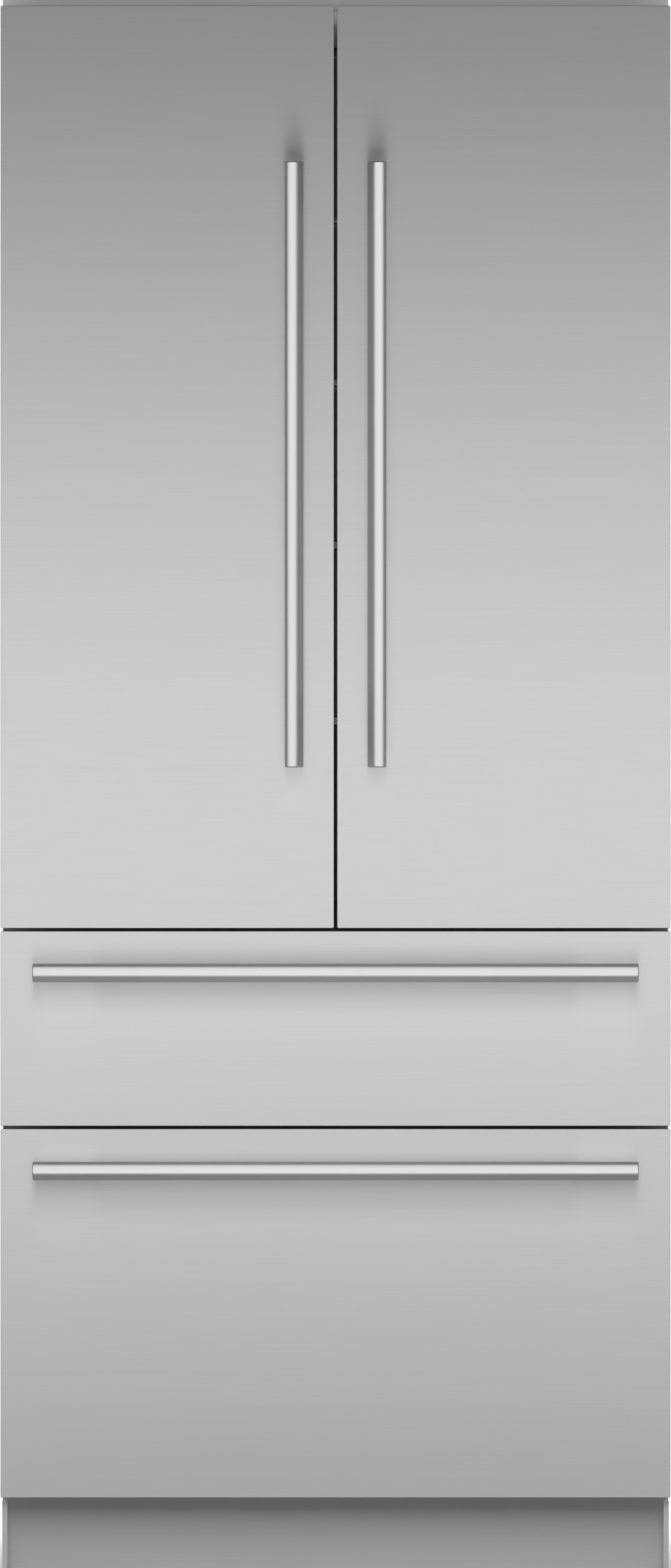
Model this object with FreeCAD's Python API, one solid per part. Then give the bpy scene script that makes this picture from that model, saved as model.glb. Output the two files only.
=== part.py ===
import FreeCAD, Part
import os
from math import cos, hypot, radians, sin

# Built-in french door refrigerator: two doors over two freezer drawers.
# Millimetres; +Z is up, the fronts face -Y, the floor is z = 0 and x = 0 is the centre plane.

# Front layout
FRONT_WIDTH = 908.0
HEIGHT = 2134.0
TOE_HEIGHT = 99.0
LOWER_FRONT_HEIGHT = 500.0
UPPER_FRONT_HEIGHT = 264.0
TOP_STRIP = 11.6
REVEAL = 4.2

# Front panels, folded from steel sheet
PANEL_THICK = 19.0
PAN_SHEET = 1.5
PAN_FLANGE = 34.0
PAN_EDGE_RADIUS = 0.8
PAN_CORNER_RADIUS = 2.0

# Foamed slabs behind the panels, and their seals
SLAB_THICK = 50.0
SLAB_SIDE_INSET = 20.0
SLAB_END_INSET = 22.0
SLAB_MID_INSET = 4.0
SEAL_GAP = 10.0
SEAL_CLEAR = 0.3
GASKET_WIDTH = 14.0
GASKET_SIDE_EDGE = 15.0
GASKET_END_EDGE = 2.0
GASKET_TOP_EDGE = 14.0
GASKET_RADIUS = 3.0

# Bar handles
HANDLE_SIDE_INSET = 43.5
HANDLE_STANDOFF = 42.3
BAR_WIDTH = 25.4
BAR_RADIUS = 10.2
GRIP_LIP_RADIUS = 2.5
BAR_END_RADIUS = 2.0
BAR_END_LENGTH = 20.0
POST_LENGTH = 80.0
POST_WIDTH = 14.0
POST_INSET = 6.0
POST_RADIUS = 5.0
DOOR_HANDLE_X = 56.2
DOOR_HANDLE_LIFT = 2.9
DRAWER_HANDLE_DROP = 56.2

# Cabinet
CABINET_SIDE_INSET = 2.0
CABINET_DEPTH = 550.0
SHEET = 1.5
LINER = 2.5
BACK_WALL = 56.0
FRAME_DEPTH = 12.0
TOP_RISE = 22.0
TRIM_HEIGHT = 16.0
TRIM_DEPTH = 12.0

# Base, feet and rollers
DECK = 2.0
RAIL_WIDTH = 40.0
RAIL_WALL = 3.0
RAIL_FLOOR_GAP = 12.0
FOOT_RADIUS = 16.0
FOOT_HEIGHT = 8.0
STEM_RADIUS = 6.0
STEM_LENGTH = 72.0
STEM_GRIP = 24.0
STEM_FIT = 0.05
FOOT_SETBACK = 60.0
ROLLER_RADIUS = 20.0
ROLLER_WIDTH = 26.0
ROLLER_SETBACK = 46.0
AXLE_RADIUS = 4.0
RUNNING_FIT = 0.06
TOE_SHEET = 2.0
CHEEK = 7.0
CHEEK_LENGTH = 58.0
TOE_FLOOR_GAP = 1.0
TOE_TOP_GAP = 3.0

# Machine bay and its contents
BAY_DEPTH = 190.0
BAY_HEIGHT = 190.0
BAY_WALL = 40.0
LOUVRE_WIDTH = 60.0
LOUVRE_HEIGHT = 6.0
LOUVRE_PITCH_X = 84.0
LOUVRE_PITCH_Z = 16.0
LOUVRE_ROWS = 6
LOUVRE_COLUMNS = 8
COMPRESSOR_SIDE_GAP = 330.5
COMPRESSOR_RADIUS = 62.0
COMPRESSOR_HEIGHT = 138.0
COMPRESSOR_DOME = 28.0
COMPRESSOR_PLATE = 4.0
COMPRESSOR_FOOT_RADIUS = 10.0
COMPRESSOR_FOOT_HEIGHT = 14.0
CONDENSER_SIDE_GAP = 50.5
CONDENSER_LENGTH = 210.0
CONDENSER_WIDTH = 130.0
CONDENSER_HEIGHT = 150.0
CONDENSER_FINS = 22
FIN = 1.0
COIL_RADIUS = 4.0
COIL_ROWS = 4
COIL_COLUMNS = (0.27, 0.73)
FAN_GAP = 50.0
FAN_RADIUS = 68.0
FAN_TIP_CLEAR = 4.0
FAN_CLEAR = 0.3
FAN_HUB_RADIUS = 18.0
FAN_DEPTH = 18.0
FAN_BLADES = 5
BLADE = 2.0
BLADE_PITCH = 32.0
BLADE_CORNER = 5.0
SHROUD_THICK = 4.0
SHROUD_MARGIN = 12.0
MOTOR_RADIUS = 22.0
MOTOR_LENGTH = 26.0
SHAFT_RADIUS = 3.0
SPOKE_WIDTH = 10.0
LINE_RADIUS = 4.0
LINE_DROP = 9.0
SUCTION_REACH = 27.0
VALVE_SIDE_GAP = 120.5
VALVE_SIZE = 44.0
VALVE_INLET_RADIUS = 5.55
VALVE_INLET_LENGTH = 16.0
VALVE_HOLE_RADIUS = 18.0
VALVE_HEIGHT = 40.0
GLAND_GAP = 80.0
GLAND_RADIUS = 11.0

# Fresh food compartment
CRISPER_BAY = 250.6
LOW_SHELF_SPACE = 240.0
SHELF_SPACE = 222.0
SHELF_COUNT = 4
SHELF_FRONT = 109.0
SHELF_BACK_GAP = 27.0
SHELF_RIM = 14.0
SHELF_HEIGHT = 14.0
SHELF_SIDE_GAP = 2.0
GLASS_THICK = 4.0
GLASS_LAP = 6.0
SHELF_RAIL_WIDTH = 10.0
SHELF_RAIL_HEIGHT = 10.0
CRISPER_TOP_GAP = 14.0
CRISPER_SIDE_GAP = 6.0
CRISPER_WALL = 3.0
CRISPER_BACK_GAP = 18.0
CRISPER_RADIUS = 12.0
PULL_DEPTH = 12.0
PULL_HEIGHT = 22.0
DUCT_WIDTH = 230.0
DUCT_DEPTH = 12.0
DUCT_END_GAP = 30.0
DUCT_SLOT_WIDTH = 150.0
DUCT_SLOT_HEIGHT = 8.0
DUCT_SLOT_PITCH = 18.0
DUCT_SLOT_LIFT = 68.0
DUCT_SLOT_PAIR = 2
LIGHT_WIDTH = 16.0
LIGHT_DEPTH = 4.0
LIGHT_SETBACK = 56.0
LIGHT_END_GAP = 60.0
CONTROL_WIDTH = 420.0
CONTROL_DEPTH = 45.0
CONTROL_HEIGHT = 16.0
CONTROL_SETBACK = 60.0

# Doors: hinges, ribs, bins and the folding mullion
HINGE_SIDE_INSET = 34.0
HINGE_DEPTH = 12.0
PIN_RADIUS = 5.0
PIN_FIT = 0.05
PIN_ENGAGE = 20.0
PIN_HEAD_RADIUS = 8.0
PIN_HEAD = 3.0
BUSH_RADIUS = 8.0
BUSH_FIT = 0.02
BUSH_LENGTH = 24.0
BUSH_PROUD = 2.3
HINGE_CLEAR = 0.3
BRACKET_THICK = 6.0
BRACKET_RADIUS = 9.0
BRACKET_NECK = 14.0
BRACKET_REACH = 50.0
BRACKET_FLANGE = 6.0
BRACKET_FLANGE_HEIGHT = 15.0
RIB_WIDTH = 12.0
RIB_DEPTH = 45.0
RIB_MID_INSET = 26.0
RIB_WALL_GAP = 3.0
RIB_END_GAP = 16.0
BIN_DEPTH = 100.0
BIN_WALL = 3.0
BIN_SIDE_GAP = 0.3
BIN_RADIUS = 14.0
BIN_LIFT = 40.6
LOW_BIN_SPACE = 380.0
BIN_SPACE = 370.0
LOW_BIN_HEIGHT = 150.0
BIN_HEIGHT = 110.0
BIN_COUNT = 3
FLIPPER_WIDTH = 38.0
FLIPPER_THICK = 14.0
FLIPPER_PIVOT_INSET = 4.5
FLIPPER_SETBACK = 0.7
FLIPPER_END_GAP = 14.0
FLIPPER_PIN_RADIUS = 2.5
FLIPPER_PIN_LENGTH = 5.0
EAR_THICK = 6.0
EAR_ROOT = 9.0
EAR_MARGIN = 5.0
EAR_CLEAR = 0.3

# Drawers and slides
SLIDE_FRONT_GAP = 8.0
SLIDE_END_GAP = 4.0
SLIDE_HEIGHT = 46.0
SLIDE_SHEET = 1.5
SLIDE_CLEAR = 0.3
SLIDE_WIDTH = 13.0
CARRIER_WIDTH = 14.0
CARRIER_THICK = 3.0
UPPER_SLIDE_DROP = 68.0
LOWER_SLIDE_DROP = 160.0
BASKET_WALL = 3.0
BASKET_RADIUS = 16.0
BASKET_SIDE_GAP = 2.0
BASKET_RIM = 3.0
BASKET_FLOOR_GAP = 14.0
BASKET_BACK_GAP = 12.0
BASKET_FRONT_GAP = 0.3

# Cooling inside the freezer
COVER_THICK = 3.0
COVER_SETBACK = 42.0
COVER_SIDE_GAP = 1.0
INNER_FAN_RADIUS = 44.0
INNER_FAN_DROP = 62.0
INNER_MOTOR_RADIUS = 14.0
INNER_MOTOR_LENGTH = 10.0
INNER_FAN_DEPTH = 12.0
INNER_HUB_RADIUS = 11.0
EVAPORATOR_SIDE_GAP = 95.0
EVAPORATOR_HEIGHT = 90.0
EVAPORATOR_DEPTH = 32.0
EVAPORATOR_FINS = 31
VENT_WIDTH = 200.0
VENT_X = 150.0
VENT_HEIGHT = 7.0
VENT_PITCH = 16.0
VENT_ROWS = 4
VENT_LIFT = 28.0
ICE_SIDE_GAP = 65.0
ICE_LENGTH = 230.0
ICE_DEPTH = 95.0
ICE_HEIGHT = 46.0
ICE_BACK_GAP = 40.0
ICE_HEAD = 50.0
ICE_CELLS = 7
ICE_WEB = 3.0
ICE_CELL_DEPTH = 22.0

# Anti-tip brackets on the top, at the back
ANTI_TIP_SIDE_GAP = 152.0
ANTI_TIP_WIDTH = 90.0
ANTI_TIP_FOOT = 50.0
ANTI_TIP_SHEET = 3.0
ANTI_TIP_HOLE_RADIUS = 3.25
ANTI_TIP_HOLE_SPACING = 60.0
ANTI_TIP_HOLE_HEIGHT = 13.0

# Depth stack from the handles to the back, centred on y = 0
bar_depth = 2 * BAR_RADIUS
depth_total = bar_depth + HANDLE_STANDOFF + PANEL_THICK + SLAB_THICK + SEAL_GAP + CABINET_DEPTH
y_panel = -depth_total / 2 + bar_depth + HANDLE_STANDOFF
y_slab = y_panel + PANEL_THICK
y_slab_back = y_slab + SLAB_THICK
y_face = y_slab_back + SEAL_GAP
y_liner = y_face + FRAME_DEPTH
y_back = y_face + CABINET_DEPTH
y_back_inner = y_back - SHEET
y_cavity_back = y_back - BACK_WALL

# Heights of the fronts
lower_bottom = TOE_HEIGHT
lower_top = lower_bottom + LOWER_FRONT_HEIGHT
upper_bottom = lower_top + REVEAL
upper_top = upper_bottom + UPPER_FRONT_HEIGHT
door_bottom = upper_top + REVEAL
door_top = HEIGHT - TOP_STRIP
door_edge = FRONT_WIDTH / 2
mid_edge = REVEAL / 2
handle_length = FRONT_WIDTH - 2 * HANDLE_SIDE_INSET

# Openings that the seals close on
opening_inset = SLAB_END_INSET + GASKET_END_EDGE + GASKET_WIDTH
opening_x = door_edge - SLAB_SIDE_INSET - GASKET_SIDE_EDGE - GASKET_WIDTH
fresh_floor = door_bottom + opening_inset
fresh_ceiling = door_top - SLAB_END_INSET - GASKET_TOP_EDGE - GASKET_WIDTH
upper_floor = upper_bottom + opening_inset
upper_ceiling = upper_top - opening_inset
lower_floor = lower_bottom + opening_inset
lower_ceiling = lower_top - opening_inset

# Cabinet box
side = door_edge - CABINET_SIDE_INSET
side_inner = side - SHEET
cabinet_bottom = TOE_HEIGHT
cabinet_top = HEIGHT - TOP_RISE
frame_top = HEIGHT - TRIM_HEIGHT
bay_front = y_back - BAY_DEPTH
bay_top = cabinet_bottom + BAY_HEIGHT
step_back = bay_front - BAY_WALL
step_top = bay_top + BAY_WALL
deck_front = y_face + TOE_SHEET

# Places across the width, measured from the side walls
compressor_x = side_inner - COMPRESSOR_SIDE_GAP
condenser_x0 = CONDENSER_SIDE_GAP - side_inner
fan_x = condenser_x0 + CONDENSER_LENGTH + FAN_GAP
valve_x = side_inner - VALVE_SIDE_GAP
gland_x = valve_x - GLAND_GAP
anti_tip_x = side - ANTI_TIP_SIDE_GAP
ice_x = ICE_SIDE_GAP - opening_x
evaporator_half = opening_x - EVAPORATOR_SIDE_GAP


# How near an edge has to be to a place or direction to be picked for a fillet
EDGE_MATCH = 0.01


def block(x0, x1, y0, y1, z0, z1):
    """Box between two corners, in any order along each axis."""
    corner = FreeCAD.Vector(min(x0, x1), min(y0, y1), min(z0, z1))
    return Part.makeBox(abs(x1 - x0), abs(y1 - y0), abs(z1 - z0), corner)


def rod(radius, length, start, axis):
    """Cylinder from a start point along an axis."""
    return Part.makeCylinder(radius, length, FreeCAD.Vector(*start), FreeCAD.Vector(*axis))


def mirrored(shape):
    """The same shape on the other side of the centre plane."""
    return shape.mirror(FreeCAD.Vector(0, 0, 0), FreeCAD.Vector(1, 0, 0))


def joined(shapes):
    """One solid from shapes that meet or cross."""
    whole = shapes[0].fuse(shapes[1:]).removeSplitter()
    return whole.Solids[0]


def less(shape, cuts):
    """A solid with all the cuts taken out of it."""
    return shape.cut(cuts).Solids[0]


def rounded(shape, radius, axis):
    """Straight edges that run along one axis get a fillet."""
    direction = FreeCAD.Vector(*axis)
    edges = [edge for edge in shape.Edges
             if edge.tangentAt(edge.FirstParameter).cross(direction).Length < EDGE_MATCH]
    return shape.makeFillet(radius, edges)


def prism(points, z0, z1):
    """Upright prism over an outline in x and y."""
    outline = [FreeCAD.Vector(x, y, z0) for x, y in points]
    face = Part.Face(Part.makePolygon(outline + outline[:1]))
    return face.extrude(FreeCAD.Vector(0, 0, z1 - z0))


def save(node, solids):
    """One STEP file per node; a node of like pieces holds several solids."""
    shape = solids[0] if len(solids) == 1 else Part.makeCompound(solids)
    shape.exportStep("parts/" + node + ".step")
    print(node, len(solids), "solids", round(shape.Volume / 1000, 1), "cm3")


def tray(x0, x1, y0, y1, z0, z1, wall, radius):
    """Open-topped box with rounded upright edges."""
    outer = rounded(block(x0, x1, y0, y1, z0, z1), radius, (0, 0, 1))
    hollow = block(x0 + wall, x1 - wall, y0 + wall, y1 - wall, z0 + wall, z1 + wall)
    return outer.cut(rounded(hollow, radius - wall, (0, 0, 1))).Solids[0]


def front_pan(x0, x1, z0, z1):
    """Front panel: a steel pan folded back at its edges, with a flange round its back."""
    outer = rounded(block(x0, x1, y_panel, y_slab, z0, z1), PAN_CORNER_RADIUS, (0, 1, 0))
    front_edges = [edge for edge in outer.Edges if abs(edge.CenterOfMass.y - y_panel) < EDGE_MATCH]
    outer = outer.makeFillet(PAN_EDGE_RADIUS, front_edges)
    hollow = block(x0 + PAN_SHEET, x1 - PAN_SHEET, y_panel + PAN_SHEET, y_slab - PAN_SHEET,
                   z0 + PAN_SHEET, z1 - PAN_SHEET)
    window = block(x0 + PAN_FLANGE, x1 - PAN_FLANGE, y_panel + PANEL_THICK / 2, y_slab + PAN_SHEET,
                   z0 + PAN_FLANGE, z1 - PAN_FLANGE)
    return less(outer, [hollow, window])


def gasket(x0, x1, z0, z1):
    """Ring seal on the back of a slab, round the given opening."""
    y1 = y_face - SEAL_CLEAR
    outer = block(x0 - GASKET_WIDTH, x1 + GASKET_WIDTH, y_slab_back, y1,
                  z0 - GASKET_WIDTH, z1 + GASKET_WIDTH)
    outer = rounded(outer, GASKET_RADIUS, (0, 1, 0))
    return less(outer, [block(x0, x1, y_slab_back - SEAL_GAP, y_face + SEAL_GAP, z0, z1)])


def bar_section():
    """Section of a handle bar: the outline round a large circle and a small one on the grip side.

    The first coordinate runs away from the grip side, the second forward from the bar's flat back.
    """
    big = (BAR_WIDTH / 2 - BAR_RADIUS, BAR_RADIUS)
    small = (GRIP_LIP_RADIUS - BAR_WIDTH / 2, GRIP_LIP_RADIUS)
    dx = big[0] - small[0]
    dy = big[1] - small[1]
    spread = hypot(dx, dy)
    lean = (BAR_RADIUS - GRIP_LIP_RADIUS) / spread
    rise = (1 - lean * lean) ** 0.5
    nx = (-dx * lean - dy * rise) / spread
    ny = (dx * rise - dy * lean) / spread
    turn = radians(40)  # any angle on the rounded side serves to draw its arc
    return {
        "back_big": (big[0], 0.0),
        "round": (big[0] + BAR_RADIUS * cos(turn), big[1] + BAR_RADIUS * sin(turn)),
        "flat_start": (big[0] + BAR_RADIUS * nx, big[1] + BAR_RADIUS * ny),
        "flat_end": (small[0] + GRIP_LIP_RADIUS * nx, small[1] + GRIP_LIP_RADIUS * ny),
        "lip": (small[0] - GRIP_LIP_RADIUS, small[1]),
        "back_small": (small[0], 0.0),
    }


def bar_piece(length):
    """Straight length of bar from z = 0 up, its flat back on y = 0 and its grip on the +X side."""
    points = {}
    for name, (away, forward) in bar_section().items():
        points[name] = FreeCAD.Vector(-away, -forward, 0)
    edges = [
        Part.Arc(points["back_big"], points["round"], points["flat_start"]).toShape(),
        Part.makeLine(points["flat_start"], points["flat_end"]),
        Part.Arc(points["flat_end"], points["lip"], points["back_small"]).toShape(),
        Part.makeLine(points["back_small"], points["back_big"]),
    ]
    return Part.Face(Part.Wire(edges)).extrude(FreeCAD.Vector(0, 0, length))


def handle():
    """Bar and its two posts as an upright handle about x = 0, z = 0, gripped on its +X side."""
    y_bar = y_panel - HANDLE_STANDOFF
    half = handle_length / 2
    top = bar_piece(BAR_END_LENGTH)
    rim = [edge for edge in top.Edges if abs(edge.CenterOfMass.z - BAR_END_LENGTH) < EDGE_MATCH]
    top = top.makeFillet(BAR_END_RADIUS, rim)
    bottom = top.mirror(FreeCAD.Vector(0, 0, 0), FreeCAD.Vector(0, 0, 1))
    middle = bar_piece(handle_length - 2 * BAR_END_LENGTH)
    top.translate(FreeCAD.Vector(0, y_bar, half - BAR_END_LENGTH))
    bottom.translate(FreeCAD.Vector(0, y_bar, BAR_END_LENGTH - half))
    middle.translate(FreeCAD.Vector(0, y_bar, BAR_END_LENGTH - half))
    bar = joined([middle, top, bottom])
    posts = []
    for z0 in (POST_INSET - half, half - POST_INSET - POST_LENGTH):
        post = block(-POST_WIDTH / 2, POST_WIDTH / 2, y_bar, y_panel, z0, z0 + POST_LENGTH)
        posts.append(rounded(post, POST_RADIUS, (0, 1, 0)))
    return [bar] + posts


def placed(shapes, x, z, turn):
    """Copies turned about the Y axis, then moved in the plane of the fronts."""
    copies = []
    for shape in shapes:
        copy = shape.copy()
        copy.rotate(FreeCAD.Vector(0, 0, 0), FreeCAD.Vector(0, 1, 0), turn)
        copy.translate(FreeCAD.Vector(x, 0, z))
        copies.append(copy)
    return copies


def fan(radius, hub_radius, depth):
    """Fan about the Z axis from z = 0: a bored hub with pitched flat blades."""
    hub = rod(hub_radius, depth, (0, 0, 0), (0, 0, 1))
    root = hub_radius - BLADE
    chord = (depth - BLADE) / sin(radians(BLADE_PITCH))
    parts = [hub]
    for index in range(FAN_BLADES):
        blade = block(root, radius, -chord / 2, chord / 2, -BLADE / 2, BLADE / 2)
        blade = rounded(blade, BLADE_CORNER, (0, 0, 1))
        blade.rotate(FreeCAD.Vector(0, 0, 0), FreeCAD.Vector(1, 0, 0), BLADE_PITCH)
        blade.translate(FreeCAD.Vector(0, 0, depth / 2))
        blade.rotate(FreeCAD.Vector(0, 0, 0), FreeCAD.Vector(0, 0, 1), 360 * index / FAN_BLADES)
        parts.append(blade)
    bore = rod(SHAFT_RADIUS + RUNNING_FIT, 3 * depth, (0, 0, -depth), (0, 0, 1))
    return less(joined(parts), [bore])


def finned_coil(x0, length, y0, depth, z0, height, fins, rows):
    """Tube-and-fin coil: straight tubes along X through evenly spaced fins."""
    parts = []
    pitch = (length - FIN) / (fins - 1)
    for index in range(fins):
        x = x0 + index * pitch
        parts.append(block(x, x + FIN, y0, y0 + depth, z0, z0 + height))
    for column in COIL_COLUMNS:
        for row in range(rows):
            z = z0 + height * (row + 0.5) / rows
            parts.append(rod(COIL_RADIUS, length, (x0, y0 + depth * column, z), (1, 0, 0)))
    return joined(parts)


def pipe(points):
    """Round tube through the points, with a ball at each bend."""
    parts = []
    for start, end in zip(points, points[1:]):
        run = FreeCAD.Vector(*end) - FreeCAD.Vector(*start)
        parts.append(Part.makeCylinder(LINE_RADIUS, run.Length, FreeCAD.Vector(*start), run))
    for bend in points[1:-1]:
        parts.append(Part.makeSphere(LINE_RADIUS, FreeCAD.Vector(*bend)))
    return joined(parts)


def channel(x0, x1, y0, y1, z0, z1, sheet):
    """Slide member open towards the centre plane; x1 is its closed side."""
    hollow = block(x0 - sheet, x1 - sheet, y0 - sheet, y1 + sheet, z0 + sheet, z1 - sheet)
    return less(block(x0, x1, y0, y1, z0, z1), [hollow])


os.makedirs("parts", exist_ok=True)

# Outer sheets
left_sheet = block(-side, -side_inner, y_face, y_back, cabinet_bottom, cabinet_top)
top_sheet = block(-side_inner, side_inner, y_liner, y_back_inner, cabinet_top - SHEET, cabinet_top)
save("outer_shell", [left_sheet, mirrored(left_sheet), top_sheet])
save("back_panel", [block(-side_inner, side_inner, y_back_inner, y_back, bay_top, cabinet_top)])

# Machine bay cover with louvres, a hole round the water inlet and a mains gland
inlet_z = cabinet_bottom + VALVE_HEIGHT
cover_cuts = [
    rod(VALVE_HOLE_RADIUS, 3 * SHEET, (valve_x, y_back - 2 * SHEET, inlet_z), (0, 1, 0)),
    rod(GLAND_RADIUS, 3 * SHEET, (gland_x, y_back - 2 * SHEET, inlet_z), (0, 1, 0)),
]
for column in range(LOUVRE_COLUMNS):
    for row in range(LOUVRE_ROWS):
        x = (column - (LOUVRE_COLUMNS - 1) / 2) * LOUVRE_PITCH_X
        z = bay_top - LOUVRE_PITCH_Z * (row + 1)
        cover_cuts.append(block(x - LOUVRE_WIDTH / 2, x + LOUVRE_WIDTH / 2,
                                y_back - 2 * SHEET, y_back + SHEET, z - LOUVRE_HEIGHT, z))
rear_cover = block(-side_inner, side_inner, y_back_inner, y_back, cabinet_bottom, bay_top)
save("rear_cover", [less(rear_cover, cover_cuts)])

# Base: deck on two channel rails, with the roller axles at the back and nuts for the feet in front
rail_inner = side - RAIL_WIDTH
rail_x = side - RAIL_WIDTH / 2
deck_bottom = cabinet_bottom - DECK
roller_y = y_back - ROLLER_SETBACK
foot_y = y_face + FOOT_SETBACK
stem_top = FOOT_HEIGHT + STEM_LENGTH
base_parts = [block(-side, side, deck_front, y_back, deck_bottom, cabinet_bottom)]
for hand in (-1, 1):
    rail = block(hand * rail_inner, hand * side, deck_front, y_back, RAIL_FLOOR_GAP, deck_bottom)
    groove = block(hand * (rail_inner + RAIL_WALL), hand * (side - RAIL_WALL),
                   deck_front - DECK, y_back + DECK, RAIL_FLOOR_GAP - DECK, deck_bottom - RAIL_WALL)
    axle_start = (hand * rail_x - RAIL_WIDTH / 2, roller_y, ROLLER_RADIUS)
    axle = rod(AXLE_RADIUS, RAIL_WIDTH, axle_start, (1, 0, 0))
    nut = block(hand * (rail_inner + RAIL_WALL), hand * (side - RAIL_WALL), foot_y - RAIL_WIDTH / 2,
                foot_y + RAIL_WIDTH / 2, stem_top - STEM_GRIP, deck_bottom - RAIL_WALL)
    thread = rod(STEM_RADIUS + STEM_FIT, STEM_GRIP, (hand * rail_x, foot_y, stem_top - STEM_GRIP),
                 (0, 0, 1))
    base_parts += [less(rail, [groove]), axle, less(nut, [thread])]
save("base_frame", [joined(base_parts)])

feet = []
rollers = []
for hand in (-1, 1):
    pad = rod(FOOT_RADIUS, FOOT_HEIGHT, (hand * rail_x, foot_y, 0), (0, 0, 1))
    stem = rod(STEM_RADIUS, STEM_LENGTH, (hand * rail_x, foot_y, FOOT_HEIGHT), (0, 0, 1))
    feet.append(joined([pad, stem]))
    start = (hand * rail_x - ROLLER_WIDTH / 2, roller_y, ROLLER_RADIUS)
    wheel = rod(ROLLER_RADIUS, ROLLER_WIDTH, start, (1, 0, 0))
    rollers.append(less(wheel, [rod(AXLE_RADIUS + RUNNING_FIT, ROLLER_WIDTH, start, (1, 0, 0))]))
save("levelling_feet", feet)
save("rear_rollers", rollers)

# Plinth: a recessed sheet between two cheeks that come forward
toe_top = deck_bottom
toe_sheet = block(-side, side, y_face, deck_front, TOE_FLOOR_GAP, toe_top)
cheek = block(-side, CHEEK - side, y_face - CHEEK_LENGTH, deck_front, TOE_FLOOR_GAP, toe_top - TOE_TOP_GAP)
save("toe_kick", [joined([toe_sheet, cheek, mirrored(cheek)])])

# Front frame that the seals close on, and the trim on top of it
stile = block(-side_inner, -opening_x, y_face, y_liner, cabinet_bottom, frame_top)
rails = []
for z0, z1 in (
    (cabinet_bottom, lower_floor),
    (lower_ceiling, upper_floor),
    (upper_ceiling, fresh_floor),
    (fresh_ceiling, frame_top),
):
    rails.append(block(-opening_x, opening_x, y_face, y_liner, z0, z1))
save("front_frame", [stile, mirrored(stile)] + rails)
save("top_trim", [block(-side, side, y_face, y_face + TRIM_DEPTH, frame_top, HEIGHT)])

# Liners: one chamber above, two below; the lowest one steps over the machine bay
fresh_hollow = block(-opening_x, opening_x, y_liner, y_cavity_back, fresh_floor, fresh_ceiling)
upper_hollow = block(-opening_x, opening_x, y_liner, y_cavity_back, upper_floor, upper_ceiling)
lower_hollow = joined([
    block(-opening_x, opening_x, y_liner, step_back, lower_floor, lower_ceiling),
    block(-opening_x, opening_x, y_liner, y_cavity_back, step_top, lower_ceiling),
])
liner_x = opening_x + LINER
liner_back = y_cavity_back + LINER
fresh_outer = block(-liner_x, liner_x, y_liner, liner_back, fresh_floor - LINER, fresh_ceiling + LINER)
upper_outer = block(-liner_x, liner_x, y_liner, liner_back, upper_floor - LINER, upper_ceiling + LINER)
lower_outer = joined([
    block(-liner_x, liner_x, y_liner, step_back + LINER, lower_floor - LINER, lower_ceiling + LINER),
    block(-liner_x, liner_x, y_liner, liner_back, step_top - LINER, lower_ceiling + LINER),
])
save("fresh_food_liner", [less(fresh_outer, [fresh_hollow])])
save("freezer_liners", [less(upper_outer, [upper_hollow]), less(lower_outer, [lower_hollow])])

foam = block(-side_inner, side_inner, y_liner, y_back_inner, cabinet_bottom, cabinet_top - SHEET)
bay = block(-side_inner, side_inner, bay_front, y_back, cabinet_bottom, bay_top)
save("cabinet_insulation", [less(foam, [fresh_outer, upper_outer, lower_outer, bay])])

# Shelves: glass in rims, on rails fixed to the side walls
shelf_y0 = y_face + SHELF_FRONT
shelf_y1 = y_cavity_back - SHELF_BACK_GAP
shelf_x = opening_x - SHELF_SIDE_GAP
shelf_levels = [fresh_floor + CRISPER_BAY]
for index in range(SHELF_COUNT - 1):
    shelf_levels.append(fresh_floor + CRISPER_BAY + LOW_SHELF_SPACE + index * SHELF_SPACE)
panes = []
rims = []
shelf_rails = []
for level in shelf_levels:
    rim = block(-shelf_x, shelf_x, shelf_y0, shelf_y1, level - SHELF_HEIGHT, level)
    window_x = shelf_x - SHELF_RIM
    window = block(-window_x, window_x, shelf_y0 + SHELF_RIM, shelf_y1 - SHELF_RIM,
                   level - SHELF_HEIGHT, level)
    glass_x = window_x + GLASS_LAP
    glass_y0 = shelf_y0 + SHELF_RIM - GLASS_LAP
    glass_y1 = shelf_y1 - SHELF_RIM + GLASS_LAP
    pane = block(-glass_x, glass_x, glass_y0, glass_y1, level - GLASS_THICK, level)
    panes.append(pane)
    rims.append(less(rim, [window, pane]))
    shelf_rail = block(-opening_x, SHELF_RAIL_WIDTH - opening_x, shelf_y0, shelf_y1,
                       level - SHELF_HEIGHT - SHELF_RAIL_HEIGHT, level - SHELF_HEIGHT)
    shelf_rails += [shelf_rail, mirrored(shelf_rail)]
save("shelf_glass", panes)
save("shelf_frames", rims)
save("shelf_rails", shelf_rails)

# Crisper drawers on the floor under the lowest shelf
crisper_top = shelf_levels[0] - SHELF_HEIGHT - CRISPER_TOP_GAP
crisper_x0 = CRISPER_SIDE_GAP / 2
crisper_x1 = opening_x - SHELF_RAIL_WIDTH - CRISPER_SIDE_GAP
crisper = tray(crisper_x0, crisper_x1, shelf_y0, shelf_y1 - CRISPER_BACK_GAP, fresh_floor, crisper_top,
               CRISPER_WALL, CRISPER_RADIUS)
pull = block(crisper_x0 + CRISPER_RADIUS, crisper_x1 - CRISPER_RADIUS, shelf_y0 - PULL_DEPTH,
             shelf_y0 + CRISPER_WALL, crisper_top - PULL_HEIGHT, crisper_top)
finger = block(crisper_x0, crisper_x1, shelf_y0 - PULL_DEPTH + CRISPER_WALL, shelf_y0,
               crisper_top - PULL_HEIGHT, crisper_top - CRISPER_WALL)
crisper = joined([crisper, less(pull, [finger])])
save("crisper_drawers", [mirrored(crisper), crisper])

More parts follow.
